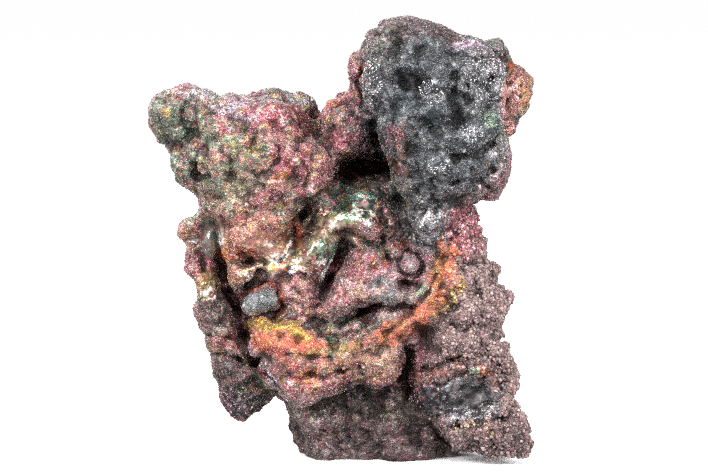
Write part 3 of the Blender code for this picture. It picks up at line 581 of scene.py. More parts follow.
def linear(code):
    """An sRGB hex colour as linear red, green and blue."""
    parts = [int(code[i:i + 2], 16) / 255 for i in (1, 3, 5)]
    return [c / 12.92 if c <= 0.04045 else ((c + 0.055) / 1.055) ** 2.4 for c in parts]


FAMILIES = {
    "mauve": "#554649 #846e70 #a28a8c #c4b0ae #746a62 #8e666c",
    "rose": "#6e3a44 #a05a68 #bb7f88 #dcb4b6 #8a6c60 #95525e",
    "crimson": "#4f2228 #85404a #a85a66 #c88890 #6b4238",
    "oxblood": "#2c1214 #4a1f1f #6e3030 #8a4a44",
    "lilac": "#7f6a78 #a992a4 #cdb9c8 #e6dbe3 #b08a98",
    "olive": "#444539 #6a6c56 #86846c #a8a086 #5e766a #8c6868 #9a9276",
    "sage": "#35403c #55685e #7a8c7c #a8b4a0 #8a6a6c #6c6f5c",
    "straw": "#8c7440 #b59a5c #d6c28c #a4765a #7f8058",
    "gold": "#a07c34 #c9a244 #e4cb76 #bd7440 #8e9050",
    "coral": "#b05c4c #cc7664 #d88a76 #c06256 #cc9464",
    "amber": "#a85230 #cd7444 #e89c62 #c8604c #dcae5c",
    "rust": "#4a2018 #7c3826 #9e5038 #b8664a",
    "cream": "#8c7462 #b49c84 #d8c4a8 #efe2cc #a87a70 #7f8a70",
    "teal": "#1c2c28 #38544a #54746a #7c9a88 #4a4034",
    "verdigris": "#3e6c58 #6aa084 #9cc4a8 #c8d8c0 #8a8a6a",
    "slate": "#54565a #6c6e72 #86888a #a0a09e",
    "blush": "#7c4c48 #a06c62 #c08c7c #dcb4a0 #8f6a54",
    "umber": "#1c1210 #34231e #4c342a #6a4a3c",
    "steel": "#2a2a2d #3c3d40 #525356 #68696c #8e9092",
    "charcoal": "#141316 #262529 #3a393e #56555a",
    "silver": "#77777b #a4a4a8 #c4c4c8 #e4e4e8",
    "gunmetal": "#2a2f32 #373d41 #454c50 #565d61",
    "ash": "#5c5759 #7c7678 #a09a9c #c8c4c6",
    "iron": "#2e2628 #4a3f40 #665a5a #8a7c78 #6e4448",
    "fawn": "#5c4a49 #7c6664 #94807c #86686a #a99690",
    "petal": "#a87672 #c99a96 #dcb4b0 #b88474",
    # White for painted glints.
    "painted_glint": "#d0cac4 #ece8e4 #ffffff",
}
# Neighbours lend each other light, which draws every hue a little toward the family's mean.
for name, codes in FAMILIES.items():
    hues = np.array([linear(code) for code in codes.split()])
    FAMILIES[name] = (1.0 - BLEND) * hues + BLEND * hues.mean(axis=0)
print(len(FAMILIES), "families of hues")

# %% [markdown]
# Where each tarnish blooms was read off the specimen. A bloom is an ellipse on the show face; noise bends
# its edge, and a throw of dice for every grain decides whether it belongs to the bloom, so neighbours mix
# along the edge as they do on the stone. Later blooms lie on earlier ones.

# %% Blooms: tarnish, x, height, half width, half height, strength
# Some blooms are painted light and shade, not tarnish: the glints, the silver on the horn's top, the ash in
# the bowl, and the dark of the cave and the recesses.
BLOOMS = [
    # The horn, the lobe and the saddle
    ("olive", -9.5, 30.5, 7, 6, 0.8), ("sage", -17, 33.6, 3.2, 3.2, 0.9),
    # The silver along the horn's top is a painted highlight.
    ("sage", -15.4, 29.5, 1.9, 2.6, 0.9), ("silver", -12.8, 36.7, 1.9, 0.8, 0.8),
    ("ash", -15.6, 37.2, 1.8, 0.7, 0.6), ("lilac", -9.4, 34.8, 3, 1.6, 0.8), ("rose", -6.6, 34, 3, 2.2, 0.8),
    ("crimson", -5.6, 34.3, 1.9, 1.3, 0.8), ("oxblood", -3.4, 33.2, 1.2, 1.4, 0.9),
    ("straw", -9, 31.4, 2, 1.2, 0.3), ("rose", -5.2, 29.8, 1.8, 3.2, 0.8),
    ("crimson", -2.9, 29.2, 1.8, 2.2, 0.5), ("rose", -2.4, 28.6, 1.6, 1.6, 0.5),
    ("amber", -5.6, 28.2, 0.8, 0.6, 0.7), ("cream", -10.2, 25.4, 2.6, 1.4, 0.7),
    ("rose", -6.8, 26, 2.2, 1.6, 0.7), ("blush", -8.8, 23, 3.6, 2.2, 0.9), ("rust", -9, 20.5, 2.4, 0.6, 0.7),
    ("amber", -11.6, 20.4, 0.5, 1.2, 0.7), ("ash", -5.4, 36.4, 3.4, 0.8, 0.9),
    ("amber", -0.6, 35.6, 1, 0.4, 0.8), ("oxblood", -2, 34, 0.7, 1.2, 0.8),
    ("rose", 0.5, 33.4, 2.4, 2.4, 0.8), ("rose", 1.2, 37.6, 1.2, 2.8, 0.8),
    ("crimson", 0.2, 31.6, 2, 1.2, 0.5),
    # The flows and the left column; the umber below the cave is painted shade
    ("umber", 4.4, 25, 1.4, 2.6, 0.8), ("teal", 1.4, 26.8, 2.6, 1.2, 0.8),
    ("cream", -1.6, 23.4, 2.6, 1.8, 0.8), ("verdigris", -1.2, 21.3, 1.6, 1, 0.7),
    ("teal", -0.9, 20.7, 0.9, 0.8, 0.7), ("cream", -3.2, 19.8, 1.4, 0.8, 0.7),
    ("rust", -4.4, 23.2, 0.7, 1.6, 0.7), ("cream", -6.4, 20.9, 1.6, 0.9, 0.8),
    ("amber", -6, 19.4, 1.2, 0.4, 0.7), ("blush", -15.2, 22.6, 1.3, 1.6, 0.9),
    ("rose", -14.4, 19.6, 1.6, 1.2, 0.8), ("sage", -12.6, 22.6, 0.9, 1.8, 0.8),
    ("straw", -13.2, 17.4, 1.5, 1.6, 0.6), ("blush", -10.2, 18.6, 1.3, 1, 0.8),
    ("iron", -12.2, 14.8, 1.7, 1.7, 0.9), ("crimson", -11.2, 11.8, 1.7, 1, 0.7),
    ("iron", -10.5, 9, 2.2, 1.8, 0.9), ("charcoal", -9.6, 5.8, 2.8, 1.8, 0.7),
    # The facet, the shelf and the foot
    ("rose", -4.6, 17.3, 2.6, 1.6, 0.8), ("rose", -3.4, 15.2, 2.2, 1, 0.7), ("slate", -8, 15.9, 1.8, 1.2, 1),
    ("coral", -6.4, 12.2, 2.8, 1.2, 0.8), ("gold", -7, 13.6, 2.4, 0.5, 0.65),
    ("gold", -4.4, 12.7, 1.4, 0.6, 0.6), ("coral", -2.6, 11.7, 1.6, 0.8, 0.7),
    ("straw", -1.8, 10, 3.2, 1.2, 0.3), ("blush", -2.4, 9, 3.6, 2.2, 0.5), ("crimson", -4.4, 9, 1, 0.8, 0.6),
    ("amber", -3, 8.5, 1, 1, 0.6), ("rose", -0.6, 7.8, 1.8, 1.1, 0.7), ("straw", 2.8, 9.6, 2.8, 1.4, 0.2),
    ("blush", 3.2, 9.8, 3, 2.2, 0.5),
    # The fold and the nodule
    ("iron", 2.4, 13.4, 2.6, 0.8, 0.6), ("sage", 0.8, 14, 1.4, 0.5, 0.5), ("rose", 0.6, 16, 1.8, 0.9, 0.6),
    ("slate", 4.3, 17.2, 1.2, 1.6, 0.7), ("rose", 2, 19.4, 1.5, 1.5, 0.7), ("sage", 4.2, 20.8, 1.3, 1, 0.6),
    ("ash", 6.8, 19.4, 1.4, 1.1, 0.6), ("verdigris", 8.2, 17, 0.8, 0.6, 0.6),
    ("rose", 12.4, 23, 1.8, 2.2, 0.8),
    # The bowl, the recess, the root and the cave. The ash low in the bowl is a painted reflection; the
    # charcoal and umber in the hollow beside the bowl, the slot, the recess over the root and the cave are
    # painted shade.
    ("iron", 12.2, 9, 4.2, 1.3, 0.75), ("steel", 12.6, 6.3, 3, 2, 0.9), ("ash", 12.7, 5.6, 2.6, 1.5, 1),
    ("sage", 13.3, 8.7, 0.9, 0.5, 0.7), ("charcoal", 8.8, 6.2, 1.6, 1.6, 0.8),
    ("umber", 6.7, 8.6, 0.9, 2.6, 1), ("iron", 15.2, 2.8, 3.6, 2.6, 0.55),
    ("straw", 13.5, 3.4, 1.8, 0.9, 0.12), ("charcoal", 2.8, 6.9, 2.8, 0.8, 0.8),
    ("umber", 2.8, 29.2, 2.6, 1.3, 1), ("iron", 2.6, 2, 7.6, 3.6, 0.8),
    # The knob and its fin
    ("steel", 9.6, 34.2, 7.4, 9.2, 1), ("steel", 8.8, 23.4, 2.4, 2.6, 1), ("rose", 12.2, 23, 1.9, 2.4, 0.8),
    ("crimson", 11.8, 24.4, 1.4, 0.8, 0.5), ("charcoal", 6.6, 37.8, 2, 1.1, 0.8),
    ("charcoal", 11, 34.8, 1, 3.2, 0.3), ("gunmetal", 6.5, 35.2, 1, 1.1, 0.9),
    ("gunmetal", 9, 34.1, 0.9, 0.8, 0.9), ("silver", 8.8, 36.4, 1.1, 1.1, 0.3),
    ("silver", 12.7, 32.3, 1, 0.9, 0.4), ("silver", 9.4, 29.1, 0.9, 0.6, 0.3),
    ("lilac", 12.2, 41.2, 1.6, 0.6, 0.8), ("ash", 14.2, 38, 2.4, 3, 0.4),
    ("verdigris", 14.6, 33.9, 1, 0.9, 0.5), ("iron", 7, 43.2, 4, 1.4, 0.5), ("rose", 7, 44.2, 3.2, 0.4, 0.5),
    ("rust", 6, 30.2, 0.7, 2.4, 0.25), ("coral", 17, 33.8, 0.4, 1.4, 0.7),
    ("straw", 18.3, 37.4, 1.6, 2.6, 0.5), ("coral", 17.9, 37, 1.2, 2, 0.4), ("rose", 18.4, 38.6, 1, 1, 0.6),
    ("rose", 17.2, 30.4, 0.5, 1.9, 0.8), ("iron", 11, 42.4, 1.6, 0.8, 0.8),
    ("iron", 15.6, 39.8, 1.2, 0.9, 0.7), ("charcoal", 7, 37.2, 1.3, 1.2, 0.7),
    ("lilac", 16.2, 35.4, 0.6, 2, 0.7), ("petal", 16.8, 35.6, 0.9, 2.6, 1.8), ("ash", 15.2, 31, 1.6, 1, 0.6),
    ("rose", 5.2, 32.2, 0.8, 1, 0.5),
    # Small spots
    ("ash", 8.6, 23.4, 2, 1.8, 0.5), ("crimson", -15.6, 31.5, 0.6, 0.4, 0.8),
    ("straw", -17, 34.6, 0.5, 0.5, 0.8), ("teal", -17, 36.4, 1.2, 0.6, 0.6),
    ("rust", 1.9, 38.9, 0.3, 0.6, 0.9), ("rust", 17, 39.2, 0.4, 0.4, 0.9),
    ("rust", 3.2, 19.7, 0.35, 0.6, 0.8), ("rust", 5.8, 21.4, 0.5, 0.3, 0.8),
    ("rust", 4.4, 19.8, 0.3, 0.6, 0.7), ("coral", -4.2, 8.4, 0.6, 0.5, 0.7),
    ("coral", -2, 9.8, 0.5, 0.4, 0.6), ("sage", -1.6, 10.6, 0.9, 0.4, 0.6),
    ("verdigris", -1, 11.8, 0.5, 0.3, 0.6), ("rose", -5.6, 10, 0.7, 0.4, 0.6),
    ("crimson", 1.6, 9.8, 0.6, 0.5, 0.5), ("petal", -4.4, 17.4, 1.8, 1.2, 0.5),
    ("petal", 1.6, 17, 2.6, 1.2, 0.3), ("petal", -3, 15.6, 2, 0.9, 0.5), ("teal", 1.6, 25.4, 2, 1.4, 0.5),
    ("verdigris", 0.4, 24.4, 1.4, 1, 0.4), ("verdigris", -15, 24.4, 0.8, 1.2, 0.5),
    # Painted glints: white spots on the glassy flows, where a softbox would be mirrored
    ("painted_glint", -11.8, 22, 0.4, 0.6, 0.9), ("painted_glint", -14.7, 22, 0.4, 0.4, 0.9),
    ("painted_glint", -6.5, 21.7, 0.4, 0.3, 0.9), ("painted_glint", -6.2, 20.2, 0.4, 0.5, 0.9),
    ("painted_glint", -4.8, 19.4, 0.7, 0.5, 0.8), ("painted_glint", -1.6, 19.8, 0.8, 0.5, 1),
    ("painted_glint", -9, 18.3, 0.4, 0.4, 0.9), ("painted_glint", 1.8, 24.5, 0.4, 0.3, 0.9),
    ("painted_glint", -13.2, 16.8, 0.5, 0.3, 0.8),
]
print(len(BLOOMS), "blooms")

# %% [markdown]
# Where a tarnish follows an edge or a groove it runs in a streak: a line with a half width.
# The gold and coral band along the shelf and the rim is made of these.

# %% Streaks: tarnish, half width, strength, points of the line
STREAKS = [
    # The cave, in painted shade: umber, charcoal and oxblood
    ("umber", 1.1, 0.75, (0.8, 29.2), (4.6, 29.4)), ("charcoal", 0.5, 0.8, (3, 33.4), (3.6, 31.4)),
    ("oxblood", 0.4, 0.8, (0.2, 28.9), (1.8, 29)),
    # The shelf and the facet
    ("coral", 1, 0.8, (-7.8, 12.2), (-5, 12), (-2.4, 11.6)),
    ("gold", 0.5, 0.8, (-9.2, 13.7), (-6.6, 13.8), (-4.8, 13.4), (-3.6, 12.6)),
    ("crimson", 0.5, 0.5, (-6.6, 11.4), (-5.4, 10.6)), ("slate", 1, 1, (-8.9, 15.7), (-7.1, 16.1)),
    # The rim of the right mass
    ("coral", 1.2, 0.65, (4.6, 12.6), (7.6, 14), (9.2, 16), (10.4, 18.4), (10.8, 21)),
    ("amber", 0.7, 0.25, (4.6, 12.6), (7.6, 14), (9.2, 16), (10.4, 18.4), (10.8, 21)),
    ("gold", 0.5, 0.4, (9.6, 14.6), (10.8, 16.2), (12.2, 17.9)), ("gold", 0.5, 0.3, (9.6, 17.6), (10, 20.6)),
    # The slit
    ("crimson", 0.5, 0.9, (0, 19.9), (-0.9, 18.4)), ("oxblood", 0.3, 0.9, (0.3, 21.2), (-1.9, 16.6)),
    # A painted highlight along the slit's raised rim
    ("painted_glint", 0.18, 0.9, (-0.5, 20.6), (-1.3, 19.2), (-2, 17.6)),
    # Thin seams
    ("lilac", 0.35, 0.6, (-9, 11.4), (-7.6, 9.2), (-6.4, 7.6)),
    ("coral", 0.4, 0.5, (-6.2, 10.8), (-4.6, 9.8)), ("coral", 0.35, 0.5, (0.4, 11.4), (2, 11.8), (4, 12.4)),
    ("straw", 0.5, 0.4, (-4.2, 11), (-1, 11), (1.4, 11.4)), ("rust", 0.35, 0.8, (-4.6, 24), (-4.2, 22.4)),
    ("crimson", 0.3, 0.8, (-8.8, 9.8), (-7.4, 8.2)),
    ("rust", 0.25, 0.8,
     (-10, 16.4), (-8.6, 16.9), (-7, 17.6), (-5.9, 16.6), (-5.7, 15.2), (-6.8, 14)),
    ("rust", 0.6, 0.3, (7.8, 8.6), (10, 8.8), (12, 9.6)), ("rust", 0.5, 0.35, (13.8, 9.4), (15.4, 8)),
    # A painted highlight along the bowl's lower rim
    ("silver", 0.4, 0.6, (10.4, 5.4), (11.8, 4.6), (13.6, 4.6), (15, 5.6)),
]
print(len(STREAKS), "streaks")

# %% [markdown]
# Every point starts from mauve. Broad fields of rose and olive, the brown of the right mass
# and the steel grey of the knob are laid over it, then the blooms, small islands of stray
# hues, and the streaks. The sides and the back get the broad fields only, so they stay calm.

# %% The tarnish of a point
STRAYS = ["teal", "rose", "straw", "iron", "crimson", "blush"]
STRAY_WIDTH = 0.8
FIELD_WIDTH = 4.0
STEEL_LEVEL = 31.0


def tarnish_of(points, normals, draw):
    """A hue for each point: draw is a random number per point that picks within the family."""
    x, height = seen(points)
    front = facing(points, normals)
    bend_x = 0.7 * layered(points, 1.8, 41)
    bend_height = 0.7 * layered(points, 1.8, 51)
    dice = np.random.default_rng(17)

    def lay(name, weight):
        family = FAMILIES[name]
        hit = dice.random(len(points)) < weight
        colour[hit] = family[(draw[hit] * len(family)).astype(int)]

    colour = FAMILIES["mauve"][(draw * len(FAMILIES["mauve"])).astype(int)]
    ground = lattice_noise(points, FIELD_WIDTH, 61)
    plain = right_mass(x, height, 8.0, 2.0)
    lay("rose", ramp(1.6 * ground - 0.1, 0.7) * (1.0 - 0.8 * plain))
    lay("olive", ramp(-1.6 * ground - 0.1, 0.7) * (1.0 - 0.8 * plain))
    lay("fawn", 0.85 * plain)
    lay("iron", ramp(2.0 * lattice_noise(points, 5.0, 67) - 0.3, 0.8) * (1.0 - front))
    above = points[:, 2] + 3.0 * bend_height - STEEL_LEVEL
    lay("steel", ramp(above / 4.0, 0.9) * (x > 2.0) * (1.0 - 0.6 * front))
    for name, across, up, wide, high, strength in BLOOMS:
        reach = reach_of(x + bend_x, height + bend_height, across, up, wide, high)
        lay(name, strength * ramp((1.35 - reach) / 0.6) * front)
    # The strays keep to the left of the knob, above the foot, and thin out on the column.
    right_end = np.where(height > STEEL_LEVEL, 2.5, 5.0)
    motley = front * (1.0 - plain) * ramp((right_end - x) / 2.0) * ramp((height - 6.0) / 2.0)
    motley *= np.where((x < -9.5) & (height < 24.0), 0.3, 1.0)
    for seed, name in enumerate(STRAYS):
        lay(name, ramp(2.2 * lattice_noise(points, STRAY_WIDTH, 101 + seed) - 0.7, 0.38) * motley)
    for name, half_width, strength, *line in STREAKS:
        reach = line_distance(line, x + 0.6 * bend_x, height + 0.6 * bend_height) / half_width
        lay(name, strength * ramp((1.4 - reach) / 0.8) * front)
    low = ramp((4.5 - points[:, 2]) / 2.0, 0.7)
    lay("iron", low * on_root(x) * (points[:, 1] > -4.0))
    return colour


# %% [markdown]
# ## Glassy places
#
# Some places grew smooth and shine like black glass: the flows left of the middle, the
# hollow at the lower right and a few facets. They have few grains and a low roughness.

# %% Glossy places: x, height, half width, half height, strength
GLOSSY = [
    # Small mirrors
    (-6.4, 20.2, 0.9, 0.7, 1), (-5.2, 19.4, 0.7, 0.5, 1), (-6.8, 21.8, 0.5, 0.5, 1), (-9, 18.5, 0.6, 0.6, 1),
    (-13.4, 16.8, 0.9, 0.7, 1), (1.9, 24.5, 0.5, 0.4, 1), (-2.6, 21, 0.7, 0.9, 0.9),
    # Flows, bowl and facets
    (-6, 20.8, 3.4, 1.8, 1), (-12.6, 22.2, 1.2, 2.4, 1), (-12.8, 17.6, 1.8, 1.6, 1),
    (12.6, 6.2, 3, 2.1, 0.7), (8.8, 6.2, 1.4, 1.4, 0.7), (-1, 22.4, 2.8, 2.6, 0.95),
    (2.4, 24.8, 2, 1.6, 0.8), (6.5, 35.2, 1.1, 1.1, 0.45), (9, 34, 0.9, 0.8, 0.45),
    (2.6, 29.2, 3.4, 2.2, 0.8), (12.4, 9.4, 3.6, 0.9, 0.3), (-6.4, 34.4, 2.6, 1.4, 0.4),
    (5.4, 24.4, 2.2, 2.4, 0.5),
    # Lips of the flows
    (-1.4, 19.9, 1, 0.7, 1), (-11.9, 22.3, 0.6, 0.9, 1), (-14.7, 22, 0.5, 0.5, 1), (-1, 18.8, 1.2, 2.6, 0.6),
    (9.4, 23.6, 2.4, 2.4, 0.4), (-7.6, 19.2, 2.4, 0.9, 0.7), (-2.8, 19.8, 1.4, 1, 0.7),
]


def gloss_of(points, normals):
    """0 on the velvety crust, near 1 on glassy skin."""
    x, height = seen(points)
    front = facing(points, normals)
    gloss = ramp(0.5 * lattice_noise(points, 2.2, 81) - 0.1, 0.5)
    for across, up, wide, high, strength in GLOSSY:
        reach = reach_of(x, height, across, up, wide, high)
        gloss = np.maximum(gloss, strength * ramp((1.3 - reach) / 0.5) * front)
    return gloss


print(len(GLOSSY), "glossy places")

# %% [markdown]
# The smooth flows are made by relaxing the skin: every corner moves toward the mean of its
# neighbours, again and again, as far as the place is glossy.

# %% Relax the skin
STAY = 0.3
MOVE = 0.7


def relaxed(mesh, rounds):
    """Where the corners come to lie after moving toward their neighbours' mean many times."""
    corners, _ = read(mesh)
    one, other = pull(mesh.edges, "vertices", 2, np.int32).T
    here = np.concatenate((one, other))
    there = np.concatenate((other, one))
    neighbours = np.bincount(here, minlength=len(corners))[:, None]
    for _ in range(rounds):
        sums = [np.bincount(here, corners[there, axis], len(corners)) for axis in range(3)]
        corners = STAY * corners + MOVE * np.stack(sums, axis=1) / neighbours
    return corners


corners, normals = read(mesh)
flow = ramp(1.3 * gloss_of(corners, normals) - 0.3)[:, None]
write(mesh, corners + flow * (relaxed(mesh, 12) - corners))
print("glassy share of the skin:", round(float(np.mean(flow > 0.5)), 3))

# %% [markdown]
# The same relaxing tells where the hollows are: a corner in a hollow moves out of the skin.
# A few rounds find the creases between heads and many rounds find the wide hollows. Both get painted shade:
# they are painted darker than the heads, and the heads a little lighter, because light hardly gets out of a
# rough hollow.

# %% Hollows
CREASE_SHADE_GAIN = 4.2
HOLLOW_SHADE_GAIN = 2.3

corners, normals = read(mesh)
crease = np.sum((relaxed(mesh, 6) - corners) * normals, axis=1)
hollow = np.sum((relaxed(mesh, 50) - corners) * normals, axis=1)
# Painted shade: a colour factor, darker in creases and hollows and a little lighter on heads.
painted_cavity_shade = np.clip(0.92 - CREASE_SHADE_GAIN * crease - HOLLOW_SHADE_GAIN * hollow, 0.34, 1.2)
print("creases:", np.percentile(crease, (5, 95)).round(3), "mm")
print("hollows:", np.percentile(hollow, (5, 95)).round(3), "mm")

# %% [markdown]
# Colour and gloss are stored on the corners, where the material can read them. Patches half
# a millimetre wide share one draw from their family, as neighbouring needle fans do.

# %% Paint the skin
PATCH = 0.5


def paint(mesh, colour, gloss):
    """Store a colour and a gloss for each corner."""
    layer = mesh.color_attributes.new("tarnish", "FLOAT_COLOR", "POINT")
    full = np.ones((len(mesh.vertices), 4), np.float32)
    full[:, :3] = ramp(colour)
    layer.data.foreach_set("color", full.ravel())
    mesh.attributes.new("gloss", "FLOAT", "POINT").data.foreach_set("value", gloss.astype(np.float32))


patch = cells(corners, PATCH, 91)[1]
gloss = gloss_of(corners, normals)
# The colour is multiplied by the painted shade of the hollows; glassy skin keeps more of its tone.
shade = (0.66 + 0.3 * gloss) * painted_cavity_shade
paint(mesh, tarnish_of(corners, normals, patch) * shade[:, None], gloss)
print("glossy share of the skin:", round(float(np.mean(gloss > 0.4)), 3))

# %% [markdown]
# ## The crust material
#
# Goethite reflects like a poor metal: strongly, and tinted by its film. So the shader is
# mostly metallic. Between the grains the crust is dark and velvety, and where it grew
# smooth it is nearly a mirror. Only what is about as fine as the skin's faces is left to
# bumps: buds 0.4 mm wide, and needles 0.12 mm wide that also speckle the colour.

# %% The crust
NEEDLE = 0.12
BUD = 0.4
NEEDLE_RISE = 0.06
BUD_RISE = 0.16


def add(tree, kind, settings=None, links=None):
    """Add a node, set its values and link its inputs."""
    node = tree.nodes.new(kind)
    for key, value in (settings or {}).items():
        if isinstance(key, int) or key in node.inputs:
            node.inputs[key].default_value = value
        else:
            setattr(node, key, value)
    for key, source in (links or {}).items():
        tree.links.new(source, node.inputs[key])
    return node


def new_tree(name):
    """An empty material and its node tree."""
    material = bpy.data.materials.new(name)
    material.use_nodes = True
    material.node_tree.nodes.clear()
    return material, material.node_tree


def fade(tree, source, start, end):
    """A number that runs from start to end as the source runs from 0 to 1."""
    node = add(tree, "ShaderNodeMapRange", {"To Min": start, "To Max": end}, {"Value": source})
    return node.outputs["Result"]


def close(tree, settings, links=None):
    """End a tree with one shader and the output."""
    shader = add(tree, "ShaderNodeBsdfPrincipled", settings, links)
    add(tree, "ShaderNodeOutputMaterial", links={"Surface": shader.outputs["BSDF"]})


# Needles that stand upright keep the light between them, so the crust looks like velvet;
# where the gloss rises, the speckle, the buds and the roughness all fade out together.
crust, tree = new_tree("tarnished_goethite_crust")
place = add(tree, "ShaderNodeTexCoord").outputs["Object"]
film = add(tree, "ShaderNodeAttribute", {"attribute_name": "tarnish"}).outputs["Color"]
glossy = add(tree, "ShaderNodeAttribute", {"attribute_name": "gloss"}).outputs["Fac"]
velvet = fade(tree, glossy, 0.9, 0.12)
sheen = fade(tree, glossy, 0.5, 0.16)
needles = add(tree, "ShaderNodeTexVoronoi", {"Scale": 1.0 / (NEEDLE * MM)}, {"Vector": place})
buds = add(tree, "ShaderNodeTexVoronoi", {"Scale": 1.0 / (BUD * MM)}, {"Vector": place})
speck = add(tree, "ShaderNodeSeparateColor", links={"Color": needles.outputs["Color"]})
bright = fade(tree, speck.outputs["Red"], 0.65, 1.3)
tint = add(tree, "ShaderNodeMix", {"data_type": "RGBA", "blend_type": "MULTIPLY"},
           {0: velvet, 6: film, 7: bright})
round_buds = add(tree, "ShaderNodeBump", {"invert": True, "Distance": BUD_RISE * MM},
                 {"Strength": velvet, "Height": buds.outputs["Distance"]})
bump = add(tree, "ShaderNodeBump", {"Distance": NEEDLE_RISE * MM},
           {"Strength": velvet, "Height": needles.outputs["Distance"],
            "Normal": round_buds.outputs["Normal"]})
close(tree, {"Metallic": 0.75},
      {"Base Color": tint.outputs[2], "Roughness": sheen, "Normal": bump.outputs["Normal"]})
mesh.materials.clear()
mesh.materials.append(crust)
print(crust.name, len(tree.nodes), "nodes")

# %% [markdown]
# The loose tips and granules have the same film but no relief of their own. A crystal tip is
# a half metal with a satin face, so it glints when it is turned to a lamp. A granule is a
# ball of fine needles, rougher and less metallic, so it stays velvety from every side.

# %% Crystals and granules
def tips(name, metallic, roughness):
    """Grown tips of one hue each, coloured by the film they carry."""
    material, tree = new_tree(name)
    film = add(tree, "ShaderNodeAttribute", {"attribute_name": "tarnish"})
    close(tree, {"Metallic": metallic, "Roughness": roughness}, {"Base Color": film.outputs["Color"]})
    return material


crystal = tips("tarnished_goethite_crystals", 0.5, 0.5)
granule = tips("velvety_goethite_granules", 0.3, 0.7)
print(crystal.name, granule.name)

# %% [markdown]
# ## The grains
#
# Flat faces of needle tips catch the light one by one, and that is what makes the stone
# glitter. A bump map can't do this well, because it has no edges, so the tips are real:
# small tetrahedra, half sunk in the skin and turned at random. Their places come first: on
# every triangle of the skin but those of the break, which rests on the ground.

# %% Scatter points on the skin
BREAK_EDGE = 0.15
rng = np.random.default_rng(7)


def scatter(corners, triangles, weights, count):
    """Random points on triangles, more where the weight is high, and which way is out."""
    a, b, c = (corners[triangles[:, i]] for i in range(3))
    cross = np.cross(b - a, c - a)
    area = np.linalg.norm(cross, axis=1)
    chance = area * weights
    pick = rng.choice(len(triangles), count, p=chance / chance.sum())
    u, v = rng.random((2, count))
    flip = u + v > 1
    u[flip] = 1 - u[flip]
    v[flip] = 1 - v[flip]
    points = a[pick] + u[:, None] * (b - a)[pick] + v[:, None] * (c - a)[pick]
    return points, cross[pick] / area[pick, None], pick


corners, normals = read(mesh)
mesh.calc_loop_triangles()
triangles = pull(mesh.loop_triangles, "vertices", 3, np.int32)
triangles = triangles[corners[triangles][:, :, 2].min(axis=1) > BREAK_EDGE]
middle = corners[triangles].mean(axis=1)
out_of = normals[triangles].mean(axis=1)
# Each triangle's painted shade of the hollows, passed on to the grains grown on it.
painted_triangle_shade = painted_cavity_shade[triangles].mean(axis=1)
print(len(triangles), "triangles can carry grains")

# %% [markdown]
# Building objects one by one would take hours. A whole crowd is one mesh built from arrays:
# the corners of a small solid are made uneven, turned, sized and moved to every place at
# once, and its faces are numbered on from grain to grain.

# %% Many small solids in one mesh
SUNK = 0.05


def random_turns(count):
    """Random rotation matrices, from random unit quaternions."""
    q = rng.normal(size=(count, 4))
    w, x, y, z = (q / np.linalg.norm(q, axis=1, keepdims=True)).T
    return np.stack((
        1 - 2 * (y * y + z * z), 2 * (x * y - z * w), 2 * (x * z + y * w),
        2 * (x * y + z * w), 1 - 2 * (x * x + z * z), 2 * (y * z - x * w),
        2 * (x * z - y * w), 2 * (y * z + x * w), 1 - 2 * (x * x + y * y)), axis=1).reshape(-1, 3, 3)


def grain_mesh(name, solid, solid_faces, points, out, sizes, colour):
    """One mesh of many small solids, about half sunk in the skin and turned at random."""
    count = len(points)
    sides = len(solid)
    uneven = solid * rng.uniform(0.65, 1.2, (count, sides, 1))
    shape = np.einsum("nij,nkj->nki", random_turns(count), uneven) * sizes[:, None, None]
    places = (points + out * SUNK * sizes[:, None])[:, None, :] + shape
    places[:, :, 2] = np.maximum(places[:, :, 2], 0.0)
    faces = (np.arange(count)[:, None, None] * sides + solid_faces).reshape(-1, 3)
    mesh = bpy.data.meshes.new(name)
    mesh.vertices.add(count * sides)
    mesh.vertices.foreach_set("co", (places * MM).astype(np.float32).ravel())
    mesh.loops.add(len(faces) * 3)
    mesh.loops.foreach_set("vertex_index", faces.astype(np.int32).ravel())
    mesh.polygons.add(len(faces))
    mesh.polygons.foreach_set("loop_start", np.arange(0, len(faces) * 3, 3, dtype=np.int32))
    mesh.update(calc_edges=True)
    paint(mesh, np.repeat(colour, sides, axis=0), np.zeros(count * sides))
    return mesh


def add_grains(name, material, shape, points, out, sizes, colour):
    """A grain mesh as an object of its own on the stone."""
    grains = placed(name, grain_mesh(name, *shape, points, out, sizes, colour))
    grains.data.materials.append(material)
    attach(grains, "root")
    print(name, len(grains.data.polygons), "triangles")


CORNERS = np.array([(1, 1, 1), (1, -1, -1), (-1, 1, -1), (-1, -1, 1)]) / math.sqrt(3)
TIP = (CORNERS, np.array([(0, 1, 2), (0, 3, 1), (0, 2, 3), (1, 3, 2)]))
print("a tip has", len(TIP[1]), "faces")

# %% [markdown]
# Tips stand closer on the front and the sides than on the back, and few grow on glossy
# skin. The knob glitters in a few clusters, where some tips are larger and silvery. The
# tips are then split by place into four pieces, because one may have 200,000 triangles.

# %% Grow the needle tips
TIPS = 140000
TIP_SIZE = (0.07, 0.13)
MOST_IN_A_PIECE = 49800
GLITTER_SHARE = 0.15
GLITTER_SIZE = 1.6
GLITTER = [
    (8.8, 36.2, 1.2, 1.4), (12.7, 32.4, 1.2, 1), (9.6, 29.2, 1.4, 0.8), (3.2, 37.4, 1, 2.4),
    (14.4, 38, 1.8, 2.6),
]
PIECES = ("lobe_grains", "left_foot_grains", "knob_grains", "right_foot_grains")

weights = np.where((out_of[:, 1] < 0.2) & (middle[:, 1] < 4.0), 2.2, 1.0)
weights = weights * (1.0 - 0.85 * ramp(gloss_of(middle, out_of) * 1.3))
points, out, pick = scatter(corners, triangles, weights, TIPS)
x, height = seen(points)
colour = tarnish_of(points, out, rng.random(TIPS))
